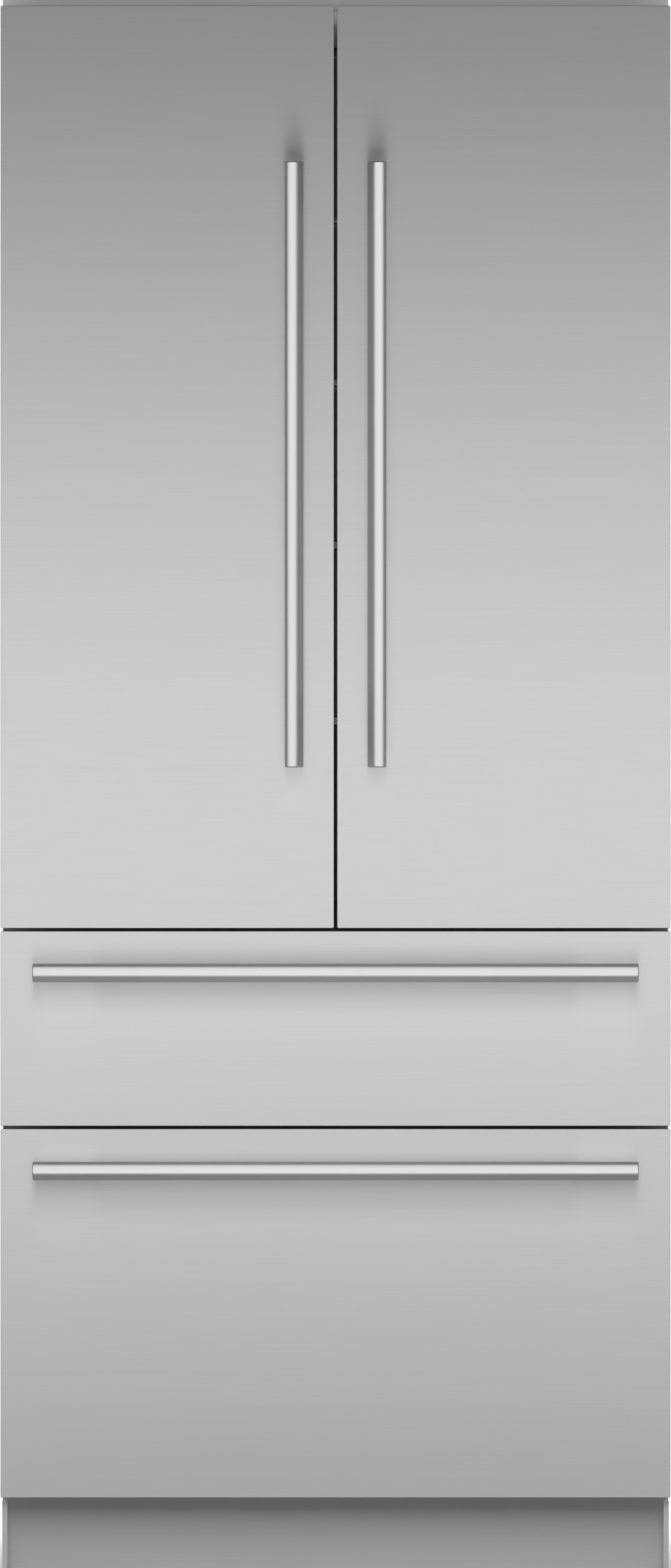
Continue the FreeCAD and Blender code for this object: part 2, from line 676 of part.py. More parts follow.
# Air duct on the back wall, with a pair of slots over each shelf
duct_bottom = shelf_levels[0] + DUCT_END_GAP
duct_top = fresh_ceiling - DUCT_END_GAP
slots = []
for level in shelf_levels:
    for index in range(DUCT_SLOT_PAIR):
        z = level + DUCT_SLOT_LIFT + index * DUCT_SLOT_PITCH
        slots.append(block(-DUCT_SLOT_WIDTH / 2, DUCT_SLOT_WIDTH / 2, y_cavity_back - 2 * DUCT_DEPTH,
                           y_cavity_back - DUCT_DEPTH / 2, z, z + DUCT_SLOT_HEIGHT))
duct = block(-DUCT_WIDTH / 2, DUCT_WIDTH / 2, y_cavity_back - DUCT_DEPTH, y_cavity_back,
             duct_bottom, duct_top)
save("air_duct", [less(duct, slots)])

# Lights on the side walls and the control strip under the ceiling
light_y = y_face + LIGHT_SETBACK
light = block(-opening_x, LIGHT_DEPTH - opening_x, light_y, light_y + LIGHT_WIDTH,
              fresh_floor + LIGHT_END_GAP, fresh_ceiling - LIGHT_END_GAP)
save("light_bars", [light, mirrored(light)])
control_y = y_face + CONTROL_SETBACK
control = block(-CONTROL_WIDTH / 2, CONTROL_WIDTH / 2, control_y, control_y + CONTROL_DEPTH,
                fresh_ceiling - CONTROL_HEIGHT, fresh_ceiling)
save("control_panel", [control])

# Freezer back: cover with vents and the inner fan's motor, evaporator and fan behind it
cover_y1 = y_cavity_back - COVER_SETBACK
cover_y0 = cover_y1 - COVER_THICK
cover_x = opening_x - COVER_SIDE_GAP
fan_z = lower_ceiling - INNER_FAN_DROP
cover = block(-cover_x, cover_x, cover_y0, cover_y1, step_top, lower_ceiling)
fan_hole = INNER_FAN_RADIUS + FAN_TIP_CLEAR
inner_cuts = [rod(fan_hole, 3 * COVER_THICK, (0, cover_y0 - COVER_THICK, fan_z), (0, 1, 0))]
for row in range(VENT_ROWS):
    z = step_top + VENT_LIFT + row * VENT_PITCH
    for hand in (-1, 1):
        x = hand * VENT_X
        inner_cuts.append(block(x - VENT_WIDTH / 2, x + VENT_WIDTH / 2, cover_y0 - COVER_THICK,
                                cover_y1 + COVER_THICK, z, z + VENT_HEIGHT))
spoke_half = SPOKE_WIDTH / 2
inner_arm = fan_hole + spoke_half
spokes = [
    block(-inner_arm, inner_arm, cover_y0, cover_y1, fan_z - spoke_half, fan_z + spoke_half),
    block(-spoke_half, spoke_half, cover_y0, cover_y1, fan_z - inner_arm, fan_z + inner_arm),
]
inner_motor = rod(INNER_MOTOR_RADIUS, INNER_MOTOR_LENGTH + COVER_THICK, (0, cover_y0, fan_z), (0, 1, 0))
inner_fan_y = cover_y1 + INNER_MOTOR_LENGTH + FAN_CLEAR
inner_shaft = rod(SHAFT_RADIUS, INNER_MOTOR_LENGTH + INNER_FAN_DEPTH, (0, cover_y1, fan_z), (0, 1, 0))
save("evaporator_cover", [joined([less(cover, inner_cuts), inner_motor, inner_shaft] + spokes)])
inner_fan = fan(INNER_FAN_RADIUS, INNER_HUB_RADIUS, INNER_FAN_DEPTH)
inner_fan.rotate(FreeCAD.Vector(0, 0, 0), FreeCAD.Vector(1, 0, 0), -90)
inner_fan.translate(FreeCAD.Vector(0, inner_fan_y, fan_z))
save("evaporator_fan", [inner_fan])
evaporator = finned_coil(-evaporator_half, 2 * evaporator_half, y_cavity_back - EVAPORATOR_DEPTH,
                         EVAPORATOR_DEPTH, step_top, EVAPORATOR_HEIGHT, EVAPORATOR_FINS, COIL_ROWS)
save("evaporator", [evaporator])

# Ice maker under the upper chamber's ceiling: a motor head and a tray of cells
ice_y1 = y_cavity_back - ICE_BACK_GAP
ice_y0 = ice_y1 - ICE_DEPTH
ice_body = block(ice_x, ice_x + ICE_LENGTH, ice_y0, ice_y1, upper_ceiling - ICE_HEIGHT, upper_ceiling)
cells = []
cell_pitch = (ICE_LENGTH - ICE_HEAD) / ICE_CELLS
for index in range(ICE_CELLS):
    x = ice_x + ICE_HEAD + index * cell_pitch
    cells.append(block(x, x + cell_pitch - ICE_WEB, ice_y0 - ICE_WEB, ice_y0 + ICE_DEPTH / 2,
                       upper_ceiling - ICE_CELL_DEPTH - ICE_WEB, upper_ceiling - ICE_WEB))
save("ice_maker", [less(ice_body, cells)])

# Machine bay: compressor on rubber feet, condenser, fan in a shroud, lines and water valve
bay_y = (bay_front + y_back_inner) / 2
compressor_z = cabinet_bottom + COMPRESSOR_FOOT_HEIGHT
shell_z = compressor_z + COMPRESSOR_PLATE
plate_half = COMPRESSOR_RADIUS + COMPRESSOR_FOOT_RADIUS
shell = rod(COMPRESSOR_RADIUS, COMPRESSOR_HEIGHT, (compressor_x, bay_y, shell_z), (0, 0, 1))
crown = [edge for edge in shell.Edges if edge.CenterOfMass.z > shell_z + COMPRESSOR_HEIGHT - EDGE_MATCH]
compressor_parts = [
    shell.makeFillet(COMPRESSOR_DOME, crown),
    block(compressor_x - plate_half, compressor_x + plate_half, bay_y - plate_half, bay_y + plate_half,
          compressor_z, shell_z),
]
for along in (-1, 1):
    for across in (-1, 1):
        foot_x = compressor_x + along * COMPRESSOR_RADIUS
        compressor_parts.append(rod(COMPRESSOR_FOOT_RADIUS, COMPRESSOR_FOOT_HEIGHT,
                                    (foot_x, bay_y + across * COMPRESSOR_RADIUS, cabinet_bottom), (0, 0, 1)))
save("compressor", [joined(compressor_parts)])

condenser_y = bay_y - CONDENSER_WIDTH / 2
condenser = finned_coil(condenser_x0, CONDENSER_LENGTH, condenser_y, CONDENSER_WIDTH, cabinet_bottom,
                        CONDENSER_HEIGHT, CONDENSER_FINS, COIL_ROWS)
save("condenser", [condenser])

fan_axis_z = cabinet_bottom + SHROUD_MARGIN + FAN_TIP_CLEAR + FAN_RADIUS
shroud_half = FAN_RADIUS + FAN_TIP_CLEAR + SHROUD_MARGIN
shroud_x1 = fan_x + SHROUD_THICK
shroud = block(fan_x, shroud_x1, bay_y - shroud_half, bay_y + shroud_half,
               cabinet_bottom, fan_axis_z + shroud_half)
shroud_hole = rod(FAN_RADIUS + FAN_TIP_CLEAR, 3 * SHROUD_THICK, (fan_x - SHROUD_THICK, bay_y, fan_axis_z),
                  (1, 0, 0))
arm = FAN_RADIUS + FAN_TIP_CLEAR + spoke_half
shroud_parts = [
    less(shroud, [shroud_hole]),
    block(fan_x, shroud_x1, bay_y - arm, bay_y + arm, fan_axis_z - spoke_half, fan_axis_z + spoke_half),
    block(fan_x, shroud_x1, bay_y - spoke_half, bay_y + spoke_half, fan_axis_z - arm, fan_axis_z + arm),
    rod(MOTOR_RADIUS, MOTOR_LENGTH, (fan_x, bay_y, fan_axis_z), (1, 0, 0)),
    rod(SHAFT_RADIUS, FAN_DEPTH + SHROUD_THICK, (fan_x - FAN_DEPTH - FAN_CLEAR, bay_y, fan_axis_z),
        (1, 0, 0)),
]
save("fan_shroud", [joined(shroud_parts)])
condenser_fan = fan(FAN_RADIUS, FAN_HUB_RADIUS, FAN_DEPTH)
condenser_fan.rotate(FreeCAD.Vector(0, 0, 0), FreeCAD.Vector(0, 1, 0), -90)
condenser_fan.translate(FreeCAD.Vector(fan_x - FAN_CLEAR, bay_y, fan_axis_z))
save("condenser_fan", [condenser_fan])

line_z = bay_top - LINE_DROP
shell_top = shell_z + COMPRESSOR_HEIGHT
condenser_top = cabinet_bottom + CONDENSER_HEIGHT
coil_end_x = condenser_x0 + FIN / 2
discharge = pipe([
    (compressor_x, bay_y, shell_top),
    (compressor_x, bay_y, line_z),
    (coil_end_x, bay_y, line_z),
    (coil_end_x, bay_y, condenser_top),
])
suction_x = compressor_x + COMPRESSOR_RADIUS + SUCTION_REACH
suction_z = shell_z + COMPRESSOR_HEIGHT / 2
suction = pipe([
    (compressor_x + COMPRESSOR_RADIUS, bay_y, suction_z),
    (suction_x, bay_y, suction_z),
    (suction_x, bay_y, bay_top),
])
save("refrigerant_lines", [discharge, suction])

valve_y1 = y_back_inner - VALVE_INLET_LENGTH
valve_body = block(valve_x - VALVE_SIZE / 2, valve_x + VALVE_SIZE / 2, valve_y1 - VALVE_SIZE, valve_y1,
                   cabinet_bottom, inlet_z + VALVE_SIZE / 2)
inlet = rod(VALVE_INLET_RADIUS, VALVE_INLET_LENGTH, (valve_x, valve_y1, inlet_z), (0, 1, 0))
save("water_valve", [joined([valve_body, inlet])])

# Anti-tip brackets: angles on the top sheet with two holes through their upright leaf
angles = []
for hand in (-1, 1):
    x0 = hand * anti_tip_x - ANTI_TIP_WIDTH / 2
    x1 = x0 + ANTI_TIP_WIDTH
    foot = block(x0, x1, y_back - ANTI_TIP_FOOT, y_back, cabinet_top, cabinet_top + ANTI_TIP_SHEET)
    leaf = block(x0, x1, y_back - ANTI_TIP_SHEET, y_back, cabinet_top, HEIGHT)
    holes = []
    for step in (-0.5, 0.5):
        x = hand * anti_tip_x + step * ANTI_TIP_HOLE_SPACING
        holes.append(rod(ANTI_TIP_HOLE_RADIUS, 3 * ANTI_TIP_SHEET,
                         (x, y_back - 2 * ANTI_TIP_SHEET, cabinet_top + ANTI_TIP_HOLE_HEIGHT), (0, 1, 0)))
    angles.append(less(joined([foot, leaf]), holes))
save("anti_tip_brackets", angles)

# Door hinges: a bracket on the frame over and under each door, with a pin into a bush in the slab
pivot_x = door_edge - HINGE_SIDE_INSET
pivot_y = y_slab + HINGE_DEPTH
slab_bottom = door_bottom + SLAB_END_INSET
slab_top = door_top - SLAB_END_INSET
bracket_gap = BUSH_PROUD + HINGE_CLEAR
bracket_outline = [
    (-pivot_x, pivot_y - BRACKET_RADIUS),
    (BRACKET_REACH - pivot_x, pivot_y - BRACKET_RADIUS),
    (BRACKET_REACH - pivot_x, y_face),
    (BRACKET_NECK - pivot_x, y_face),
    (BRACKET_NECK - pivot_x, pivot_y + BRACKET_RADIUS),
    (-pivot_x, pivot_y + BRACKET_RADIUS),
]
brackets = []
pins = []
for seat, away in ((slab_top + bracket_gap, 1), (slab_bottom - bracket_gap, -1)):
    far = seat + away * BRACKET_THICK
    z0 = min(seat, far)
    end = seat + away * BRACKET_FLANGE_HEIGHT
    plate = joined([
        prism(bracket_outline, z0, z0 + BRACKET_THICK),
        rod(BRACKET_RADIUS, BRACKET_THICK, (-pivot_x, pivot_y, z0), (0, 0, 1)),
        block(BRACKET_NECK - pivot_x, BRACKET_REACH - pivot_x, y_face - BRACKET_FLANGE, y_face, seat, end),
    ])
    hole = rod(PIN_RADIUS + BUSH_FIT, 3 * BRACKET_THICK, (-pivot_x, pivot_y, z0 - BRACKET_THICK), (0, 0, 1))
    shank_end = seat - away * (bracket_gap + PIN_ENGAGE)
    shank = rod(PIN_RADIUS, abs(far - shank_end), (-pivot_x, pivot_y, min(far, shank_end)), (0, 0, 1))
    head = rod(PIN_HEAD_RADIUS, PIN_HEAD, (-pivot_x, pivot_y, min(far, far + away * PIN_HEAD)), (0, 0, 1))
    brackets.append(less(plate, [hole]))
    pins.append(joined([shank, head]))
save("hinge_brackets", brackets + [mirrored(shape) for shape in brackets])
save("hinge_pins", pins + [mirrored(shape) for shape in pins])

# Left door; the right one is its mirror image apart from the folding mullion's ears
slab_x0 = -door_edge + SLAB_SIDE_INSET
slab_x1 = -mid_edge - SLAB_MID_INSET
slab = block(slab_x0, slab_x1, y_slab, y_slab_back, slab_bottom, slab_top)
bush_depth = BUSH_LENGTH - BUSH_PROUD
sockets = [
    rod(BUSH_RADIUS + BUSH_FIT, bush_depth, (-pivot_x, pivot_y, slab_bottom), (0, 0, 1)),
    rod(BUSH_RADIUS + BUSH_FIT, bush_depth, (-pivot_x, pivot_y, slab_top - bush_depth), (0, 0, 1)),
]
bushes = []
for z0 in (slab_bottom - BUSH_PROUD, slab_top - bush_depth):
    bush = rod(BUSH_RADIUS, BUSH_LENGTH, (-pivot_x, pivot_y, z0), (0, 0, 1))
    bushes.append(less(bush, [rod(PIN_RADIUS + PIN_FIT, BUSH_LENGTH, (-pivot_x, pivot_y, z0), (0, 0, 1))]))
rib_z0 = fresh_floor + RIB_END_GAP
rib_z1 = fresh_ceiling - RIB_END_GAP
rib_y1 = y_slab_back + RIB_DEPTH
mid_rib_x = slab_x1 - RIB_MID_INSET
wall_rib_x = -opening_x + RIB_WALL_GAP
ribs = [
    block(mid_rib_x - RIB_WIDTH, mid_rib_x, y_slab_back, rib_y1, rib_z0, rib_z1),
    block(wall_rib_x, wall_rib_x + RIB_WIDTH, y_slab_back, rib_y1, rib_z0, rib_z1),
]
door_slab = joined([less(slab, sockets)] + ribs)

# Folding mullion, folded back along the left door's edge, and the ears that carry its pins
flip_x = FLIPPER_PIVOT_INSET - FLIPPER_WIDTH / 2
flip_y0 = y_face + FLIPPER_SETBACK
flip_y = flip_y0 + FLIPPER_PIVOT_INSET
flip_z0 = fresh_floor + FLIPPER_END_GAP
flip_z1 = fresh_ceiling - FLIPPER_END_GAP
flip_x1 = flip_x + FLIPPER_PIVOT_INSET
flipper = block(flip_x1 - FLIPPER_THICK, flip_x1, flip_y0, flip_y0 + FLIPPER_WIDTH, flip_z0, flip_z1)
nose = [edge for edge in flipper.Edges
        if abs(edge.CenterOfMass.x - flip_x1) < EDGE_MATCH
        and abs(edge.CenterOfMass.y - flip_y0) < EDGE_MATCH]
flipper = flipper.makeFillet(FLIPPER_PIVOT_INSET, nose)
flip_pins = [
    rod(FLIPPER_PIN_RADIUS, FLIPPER_PIN_LENGTH, (flip_x, flip_y, flip_z0 - FLIPPER_PIN_LENGTH), (0, 0, 1)),
    rod(FLIPPER_PIN_RADIUS, FLIPPER_PIN_LENGTH, (flip_x, flip_y, flip_z1), (0, 0, 1)),
]
save("flipper_mullion", [joined([flipper] + flip_pins)])
ear_x0 = slab_x1 - GASKET_WIDTH - EAR_MARGIN / 2 - EAR_ROOT
ears = []
for z0 in (flip_z0 - EAR_CLEAR - EAR_THICK, flip_z1 + EAR_CLEAR):
    root = block(ear_x0, ear_x0 + EAR_ROOT, y_slab_back, flip_y + EAR_MARGIN, z0, z0 + EAR_THICK)
    finger = block(ear_x0, flip_x + EAR_MARGIN, flip_y - FLIPPER_PIVOT_INSET, flip_y + EAR_MARGIN,
                   z0, z0 + EAR_THICK)
    bore = rod(FLIPPER_PIN_RADIUS + PIN_FIT, EAR_THICK, (flip_x, flip_y, z0), (0, 0, 1))
    ears.append(less(joined([root, finger]), [bore]))
left_slab = joined([door_slab] + ears)

bins = []
bin_x0 = wall_rib_x + RIB_WIDTH + BIN_SIDE_GAP
bin_x1 = mid_rib_x - RIB_WIDTH - BIN_SIDE_GAP
bin_sizes = [(fresh_floor + BIN_LIFT, LOW_BIN_HEIGHT)]
for index in range(BIN_COUNT - 1):
    bin_sizes.append((fresh_floor + BIN_LIFT + LOW_BIN_SPACE + index * BIN_SPACE, BIN_HEIGHT))
for level, height in bin_sizes:
    bins.append(tray(bin_x0, bin_x1, y_slab_back, y_slab_back + BIN_DEPTH, level, level + height,
                     BIN_WALL, BIN_RADIUS))

door_pan = front_pan(-door_edge, -mid_edge, door_bottom, door_top)
door_gasket = gasket(-opening_x, slab_x1 - GASKET_WIDTH, fresh_floor, fresh_ceiling)
upright = handle()
door_z = (door_bottom + door_top) / 2
door_handle = placed(upright, -DOOR_HANDLE_X, door_z + DOOR_HANDLE_LIFT, 0)
save("left_door_panel", [door_pan])
save("left_door_slab", [left_slab])
save("left_door_gasket", [door_gasket])
save("left_door_handle", door_handle)
save("left_door_bins", bins)
save("left_hinge_bushes", bushes)
save("right_door_panel", [mirrored(door_pan)])
save("right_door_slab", [mirrored(door_slab)])
save("right_door_gasket", [mirrored(door_gasket)])
save("right_door_handle", [mirrored(shape) for shape in door_handle])
save("right_door_bins", [mirrored(shape) for shape in bins])
save("right_hinge_bushes", [mirrored(shape) for shape in bushes])

# Freezer drawers: front, basket and three-part slides on each side
slide_y0 = y_liner + SLIDE_FRONT_GAP
slide_y1 = cover_y0 - SLIDE_END_GAP
inner_step = SLIDE_SHEET + SLIDE_CLEAR
slide_outers = []
for name, z0, z1, floor, ceiling, drop, basket_back in (
    ("upper", upper_bottom, upper_top, upper_floor, upper_ceiling, UPPER_SLIDE_DROP, slide_y1),
    ("lower", lower_bottom, lower_top, lower_floor, lower_ceiling, LOWER_SLIDE_DROP, step_back),
):
    rail_z0 = ceiling - drop
    rail_z1 = rail_z0 + SLIDE_HEIGHT
    outer = channel(opening_x - SLIDE_WIDTH, opening_x, slide_y0, slide_y1, rail_z0, rail_z1, SLIDE_SHEET)
    middle = channel(opening_x - SLIDE_WIDTH, opening_x - inner_step, slide_y0, slide_y1,
                     rail_z0 + inner_step, rail_z1 - inner_step, SLIDE_SHEET)
    bar_x = opening_x - SLIDE_WIDTH - inner_step
    bar_z0 = rail_z0 + 2 * inner_step
    inner_bar = block(bar_x, opening_x - 2 * inner_step, y_slab_back, slide_y1,
                      bar_z0, rail_z1 - 2 * inner_step)
    carrier = block(bar_x - CARRIER_WIDTH, bar_x, y_slab_back, slide_y1, bar_z0, bar_z0 + CARRIER_THICK)
    inner = joined([inner_bar, carrier])
    slide_outers += [mirrored(outer), outer]
    save(name + "_slide_middles", [mirrored(middle), middle])
    save(name + "_slide_inners", [mirrored(inner), inner])

    body_x = bar_x - CARRIER_WIDTH - BASKET_SIDE_GAP
    basket_y0 = y_slab_back + BASKET_FRONT_GAP
    basket_y1 = basket_back - BASKET_BACK_GAP
    rim_z0 = bar_z0 + CARRIER_THICK
    rim_z1 = rim_z0 + BASKET_RIM
    body = tray(-body_x, body_x, basket_y0, basket_y1, floor + BASKET_FLOOR_GAP, rim_z1,
                BASKET_WALL, BASKET_RADIUS)
    rim = block(body_x - BASKET_WALL, bar_x - BASKET_SIDE_GAP, basket_y0 + BASKET_RADIUS,
                basket_y1 - BASKET_RADIUS, rim_z0, rim_z1)
    save(name + "_drawer_basket", [joined([body, rim, mirrored(rim)])])

    slab_half = door_edge - SLAB_SIDE_INSET
    drawer_slab = block(-slab_half, slab_half, y_slab, y_slab_back, z0 + SLAB_END_INSET, z1 - SLAB_END_INSET)
    save(name + "_drawer_panel", [front_pan(-door_edge, door_edge, z0, z1)])
    save(name + "_drawer_slab", [drawer_slab])
    save(name + "_drawer_gasket", [gasket(-opening_x, opening_x, floor, ceiling)])
    save(name + "_drawer_handle", placed(upright, 0, z1 - DRAWER_HANDLE_DROP, 90))
save("slide_outers", slide_outers)
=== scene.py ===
# %% [markdown]
# # Built-in french door refrigerator
# The solids of this machine come from its CAD model, in metres and already in place. This lesson
# dresses them. It gives each piece its finish, adds the formed pieces that the solids leave out, such
# as seals, screws and coved corners, and sets up a camera and a plain studio.

# %% Load the solids
import math
import bmesh
import bpy
import numpy as np
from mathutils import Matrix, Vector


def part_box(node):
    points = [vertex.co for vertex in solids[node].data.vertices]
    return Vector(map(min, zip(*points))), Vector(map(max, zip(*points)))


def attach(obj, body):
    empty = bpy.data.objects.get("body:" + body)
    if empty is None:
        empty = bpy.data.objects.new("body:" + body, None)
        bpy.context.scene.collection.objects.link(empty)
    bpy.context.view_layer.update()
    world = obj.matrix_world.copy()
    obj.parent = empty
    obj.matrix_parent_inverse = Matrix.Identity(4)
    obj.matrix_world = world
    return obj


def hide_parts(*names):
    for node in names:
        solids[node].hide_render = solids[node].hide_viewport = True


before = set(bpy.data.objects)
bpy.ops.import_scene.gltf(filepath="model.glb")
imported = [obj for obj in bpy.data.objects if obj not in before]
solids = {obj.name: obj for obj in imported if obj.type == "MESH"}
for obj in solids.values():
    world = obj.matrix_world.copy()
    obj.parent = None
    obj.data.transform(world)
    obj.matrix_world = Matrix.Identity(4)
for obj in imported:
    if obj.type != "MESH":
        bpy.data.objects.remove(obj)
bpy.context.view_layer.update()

scene = bpy.context.scene
scene.view_settings.view_transform = "Standard"

# %% [markdown]
# ## The camera
# The fronts are seen straight on and almost without perspective: from so far away, a long lens shows
# the recessed plinth at nearly the same scale as the steel in front of it. A real long lens is used
# rather than an orthographic camera, because the handles still cover a little more of the fronts near
# the edges.

# %% Camera
CAMERA_DISTANCE = 40.0
VIEW_HEIGHT = 2.1265
VIEW_MIDDLE = 1.0669

fronts_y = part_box("left_door_panel")[0].y
camera_data = bpy.data.cameras.new("camera")
camera_data.lens = camera_data.sensor_width * CAMERA_DISTANCE / VIEW_HEIGHT
camera = bpy.data.objects.new("camera", camera_data)
camera.location = (0.0, fronts_y - CAMERA_DISTANCE, VIEW_MIDDLE)
camera.rotation_euler = (math.pi / 2, 0.0, 0.0)
scene.collection.objects.link(camera)
scene.camera = camera
print("lens", round(camera_data.lens, 1), "mm at", CAMERA_DISTANCE, "m")

# %% [markdown]
# ## Shaders as expressions
# A finish is a small graph of nodes. Written node by node it is long and hard to read, so a wire
# between nodes is wrapped in a class with arithmetic: adding two wires adds a Math node. Every other
# node comes from one method that sets its options first and then its sockets.

# %% Wires and shading
class Wire:
    """One output of a shader node; arithmetic on wires and numbers adds Math nodes."""

    def __init__(self, shading, socket):
        self.shading = shading
        self.socket = socket

    def __add__(self, other):
        return self.shading.math("ADD", self, other)

    def __sub__(self, other):
        return self.shading.math("SUBTRACT", self, other)

    def __rsub__(self, other):
        return self.shading.math("SUBTRACT", other, self)

    def __mul__(self, other):
        return self.shading.math("MULTIPLY", self, other)

    def __truediv__(self, other):
        return self.shading.math("DIVIDE", self, other)

    def __rtruediv__(self, other):
        return self.shading.math("DIVIDE", other, self)

    __radd__ = __add__
    __rmul__ = __mul__


class Shading:
    """A node tree under construction."""

    def __init__(self, tree):
        self.tree = tree

    def node(self, kind, settings=None, sockets=None):
        """Adds a node: its settings first, then a value or a wire for each socket named."""
        made = self.tree.nodes.new(kind)
        for key, value in (settings or {}).items():
            setattr(made, key, value)
        for key, value in (sockets or {}).items():
            self.feed(made.inputs[key], value)
        return made

    def feed(self, socket, value):
        """Links a wire to a socket, or sets the socket's own value."""
        if isinstance(value, Wire):
            self.tree.links.new(value.socket, socket)
        else:
            socket.default_value = value

    def math(self, operation, *terms):
        """Math node on wires and numbers."""
        made = self.node("ShaderNodeMath", {"operation": operation}, dict(enumerate(terms)))
        return Wire(self, made.outputs[0])

    def step(self, value, low, high):
        """Smooth step: 0 below low, 1 above high."""
        made = self.node("ShaderNodeMapRange", {"interpolation_type": "SMOOTHSTEP"},
                         {"Value": value, "From Min": low, "From Max": high})
        return Wire(self, made.outputs[0])

    def place(self, stretch=(1.0, 1.0, 1.0), output="Object"):
        """Coordinates in metres, multiplied along each axis."""
        source = Wire(self, self.node("ShaderNodeTexCoord").outputs[output])
        made = self.node("ShaderNodeMapping", {}, {"Vector": source, "Scale": stretch})
        return Wire(self, made.outputs[0])

    def parts(self, vector):
        """The x, y and z of a vector as three wires."""
        made = self.node("ShaderNodeSeparateXYZ", {}, {"Vector": vector})
        return [Wire(self, output) for output in made.outputs]

    def noise(self, stretch, detail=2.0):
        """Soft noise from 0 to 1; stretch gives its features per metre along each axis."""
        made = self.node("ShaderNodeTexNoise", {},
                         {"Vector": self.place(stretch), "Scale": 1.0, "Detail": detail})
        return Wire(self, made.outputs[0])

    def between(self, factor, first, second):
        """Colour between two colours."""
        made = self.node("ShaderNodeMix", {"data_type": "RGBA"}, {0: factor, 6: first, 7: second})
        return Wire(self, made.outputs[2])


class Finish(Shading):
    """A material with one Principled shader; its constants are set on the shader's own sockets."""

    def __init__(self, name, **constants):
        self.material = bpy.data.materials.new(name)
        self.material.use_nodes = True
        super().__init__(self.material.node_tree)
        self.shader = self.tree.nodes["Principled BSDF"]
        for key, value in constants.items():
            self.set(key.replace("_", " ").title().replace("Ior", "IOR"), value)

    def set(self, socket, value):
        """A constant or a wire for one socket of the shader."""
        self.feed(self.shader.inputs[socket], value)

    def mix_in(self, factor, other):
        """Puts a Mix Shader before the output: the Principled shader at 0, another shader node at 1."""
        mix = self.node("ShaderNodeMixShader", {}, {0: factor, 1: Wire(self, self.shader.outputs[0]),
                                                    2: Wire(self, other.outputs[0])})
        self.feed(self.tree.nodes["Material Output"].inputs["Surface"], Wire(self, mix.outputs[0]))

    def relief(self, height, depth):
        """Bump of the given depth in metres from a height wire."""
        made = self.node("ShaderNodeBump", {}, {"Height": height, "Distance": depth})
        self.set("Normal", Wire(self, made.outputs[0]))


def grey(value, warm=0.0):
    """A neutral colour, slightly warmer or cooler."""
    return (value + warm, value, value - warm, 1.0)


def dress(finish, *names):
    """Gives CAD solids a finish through their own material slots."""
    for name in names:
        solid = solids[name]
        if not solid.material_slots:
            solid.data.materials.append(finish.material)
        for slot in solid.material_slots:
            slot.material = finish.material
        undressed.discard(name)


undressed = set(solids)
print("shading helpers ready for", len(undressed), "solids")

# %% [markdown]
# ## Studio light
# Brushed steel shows what stands in front of it, drawn out up and down. The fronts are brightest at
# half height and darker towards the top and the plinth, which is what one wide, evenly lit panel of
# about the machine's own height gives when it stands near: from the middle the whole panel is in view,
# and from either end only half of it. A gradient painted on the steel would look the same from here and
# wrong from everywhere else. The handles are bright all along, and round their whole front, where that
# panel alone doesn't reach. In a studio they would get a second exposure with the panel raised or
# lowered; here two more panels, over the first and sloping from its foot to the machine, light only the
# handles and the strip over the doors. Part of the first panel's light shines past the door handles, as
# in an exposure without them, so that their streaks on the steel stay faint.

# %% Front light
LIGHT_GAP = 1.05
LIGHT_WIDTH = 4.6
LIGHT_NEAR_GAP = 0.25
LIGHT_BOTTOM = 0.02
LIGHT_LOW = 0.31
LIGHT_HIGH = 1.70
LIGHT_TOP = 2.9
LIGHT_RADIANCE = 1.65
PAST_HANDLES = 0.3


def panel_light(name, foot, head, *receivers, share=1.0, past=()):
    """Evenly lit rectangle that faces the machine, from its foot to its head.

    Both are a (gap before the fronts, height). With receivers named it lights only those objects.
    It gives a share of the panel's light, and what it shines past casts no shadow in it.
    """
    run = foot[0] - head[0]
    rise = head[1] - foot[1]
    data = bpy.data.lights.new(name, "AREA")
    data.shape = "RECTANGLE"
    data.size = LIGHT_WIDTH
    data.size_y = math.hypot(run, rise)
    data.energy = share * LIGHT_RADIANCE * math.pi * data.size * data.size_y
    light = bpy.data.objects.new(name, data)
    light.location = (0.0, fronts_y - (foot[0] + head[0]) / 2, (foot[1] + head[1]) / 2)
    light.rotation_euler = (math.atan2(rise, run), 0.0, 0.0)
    light.visible_camera = False
    scene.collection.objects.link(light)
    if receivers:
        light.light_linking.receiver_collection = bpy.data.collections.new(name + "_receivers")
        for receiver in receivers:
            light.light_linking.receiver_collection.objects.link(scene.objects[receiver])
    if past:
        blockers = bpy.data.collections.new(name + "_blockers")
        light.light_linking.blocker_collection = blockers
        for passed in past:
            blockers.objects.link(scene.objects[passed])
        for entry in blockers.collection_objects:
            entry.light_linking.link_state = "EXCLUDE"
    print(name, round(data.energy, 1), "W over", round(data.size_y, 2), "m of height")


door_handles = ("left_door_handle", "right_door_handle")
drawer_handles = ("upper_drawer_handle", "lower_drawer_handle")
panel_low = (LIGHT_GAP, LIGHT_LOW)
panel_high = (LIGHT_GAP, LIGHT_HIGH)
panel_light("front_panel_light", panel_low, panel_high, share=1.0 - PAST_HANDLES)
panel_light("second_panel_light", panel_low, panel_high, share=PAST_HANDLES, past=door_handles)
panel_light("high_handle_light", panel_high, (LIGHT_GAP, LIGHT_TOP),
            *door_handles, *drawer_handles, "top_trim")
panel_light("low_handle_light", (LIGHT_NEAR_GAP, LIGHT_BOTTOM), panel_low, *drawer_handles)

# %% [markdown]
# ## Room
# Behind the machine the room is white, and metal and glass show it; in front it is dimmer, so that the
# light panel stands out in the steel. A picture of a real studio would do the same, but a few steps
# between three levels are enough. Rays from the camera, also through glass, always find white.

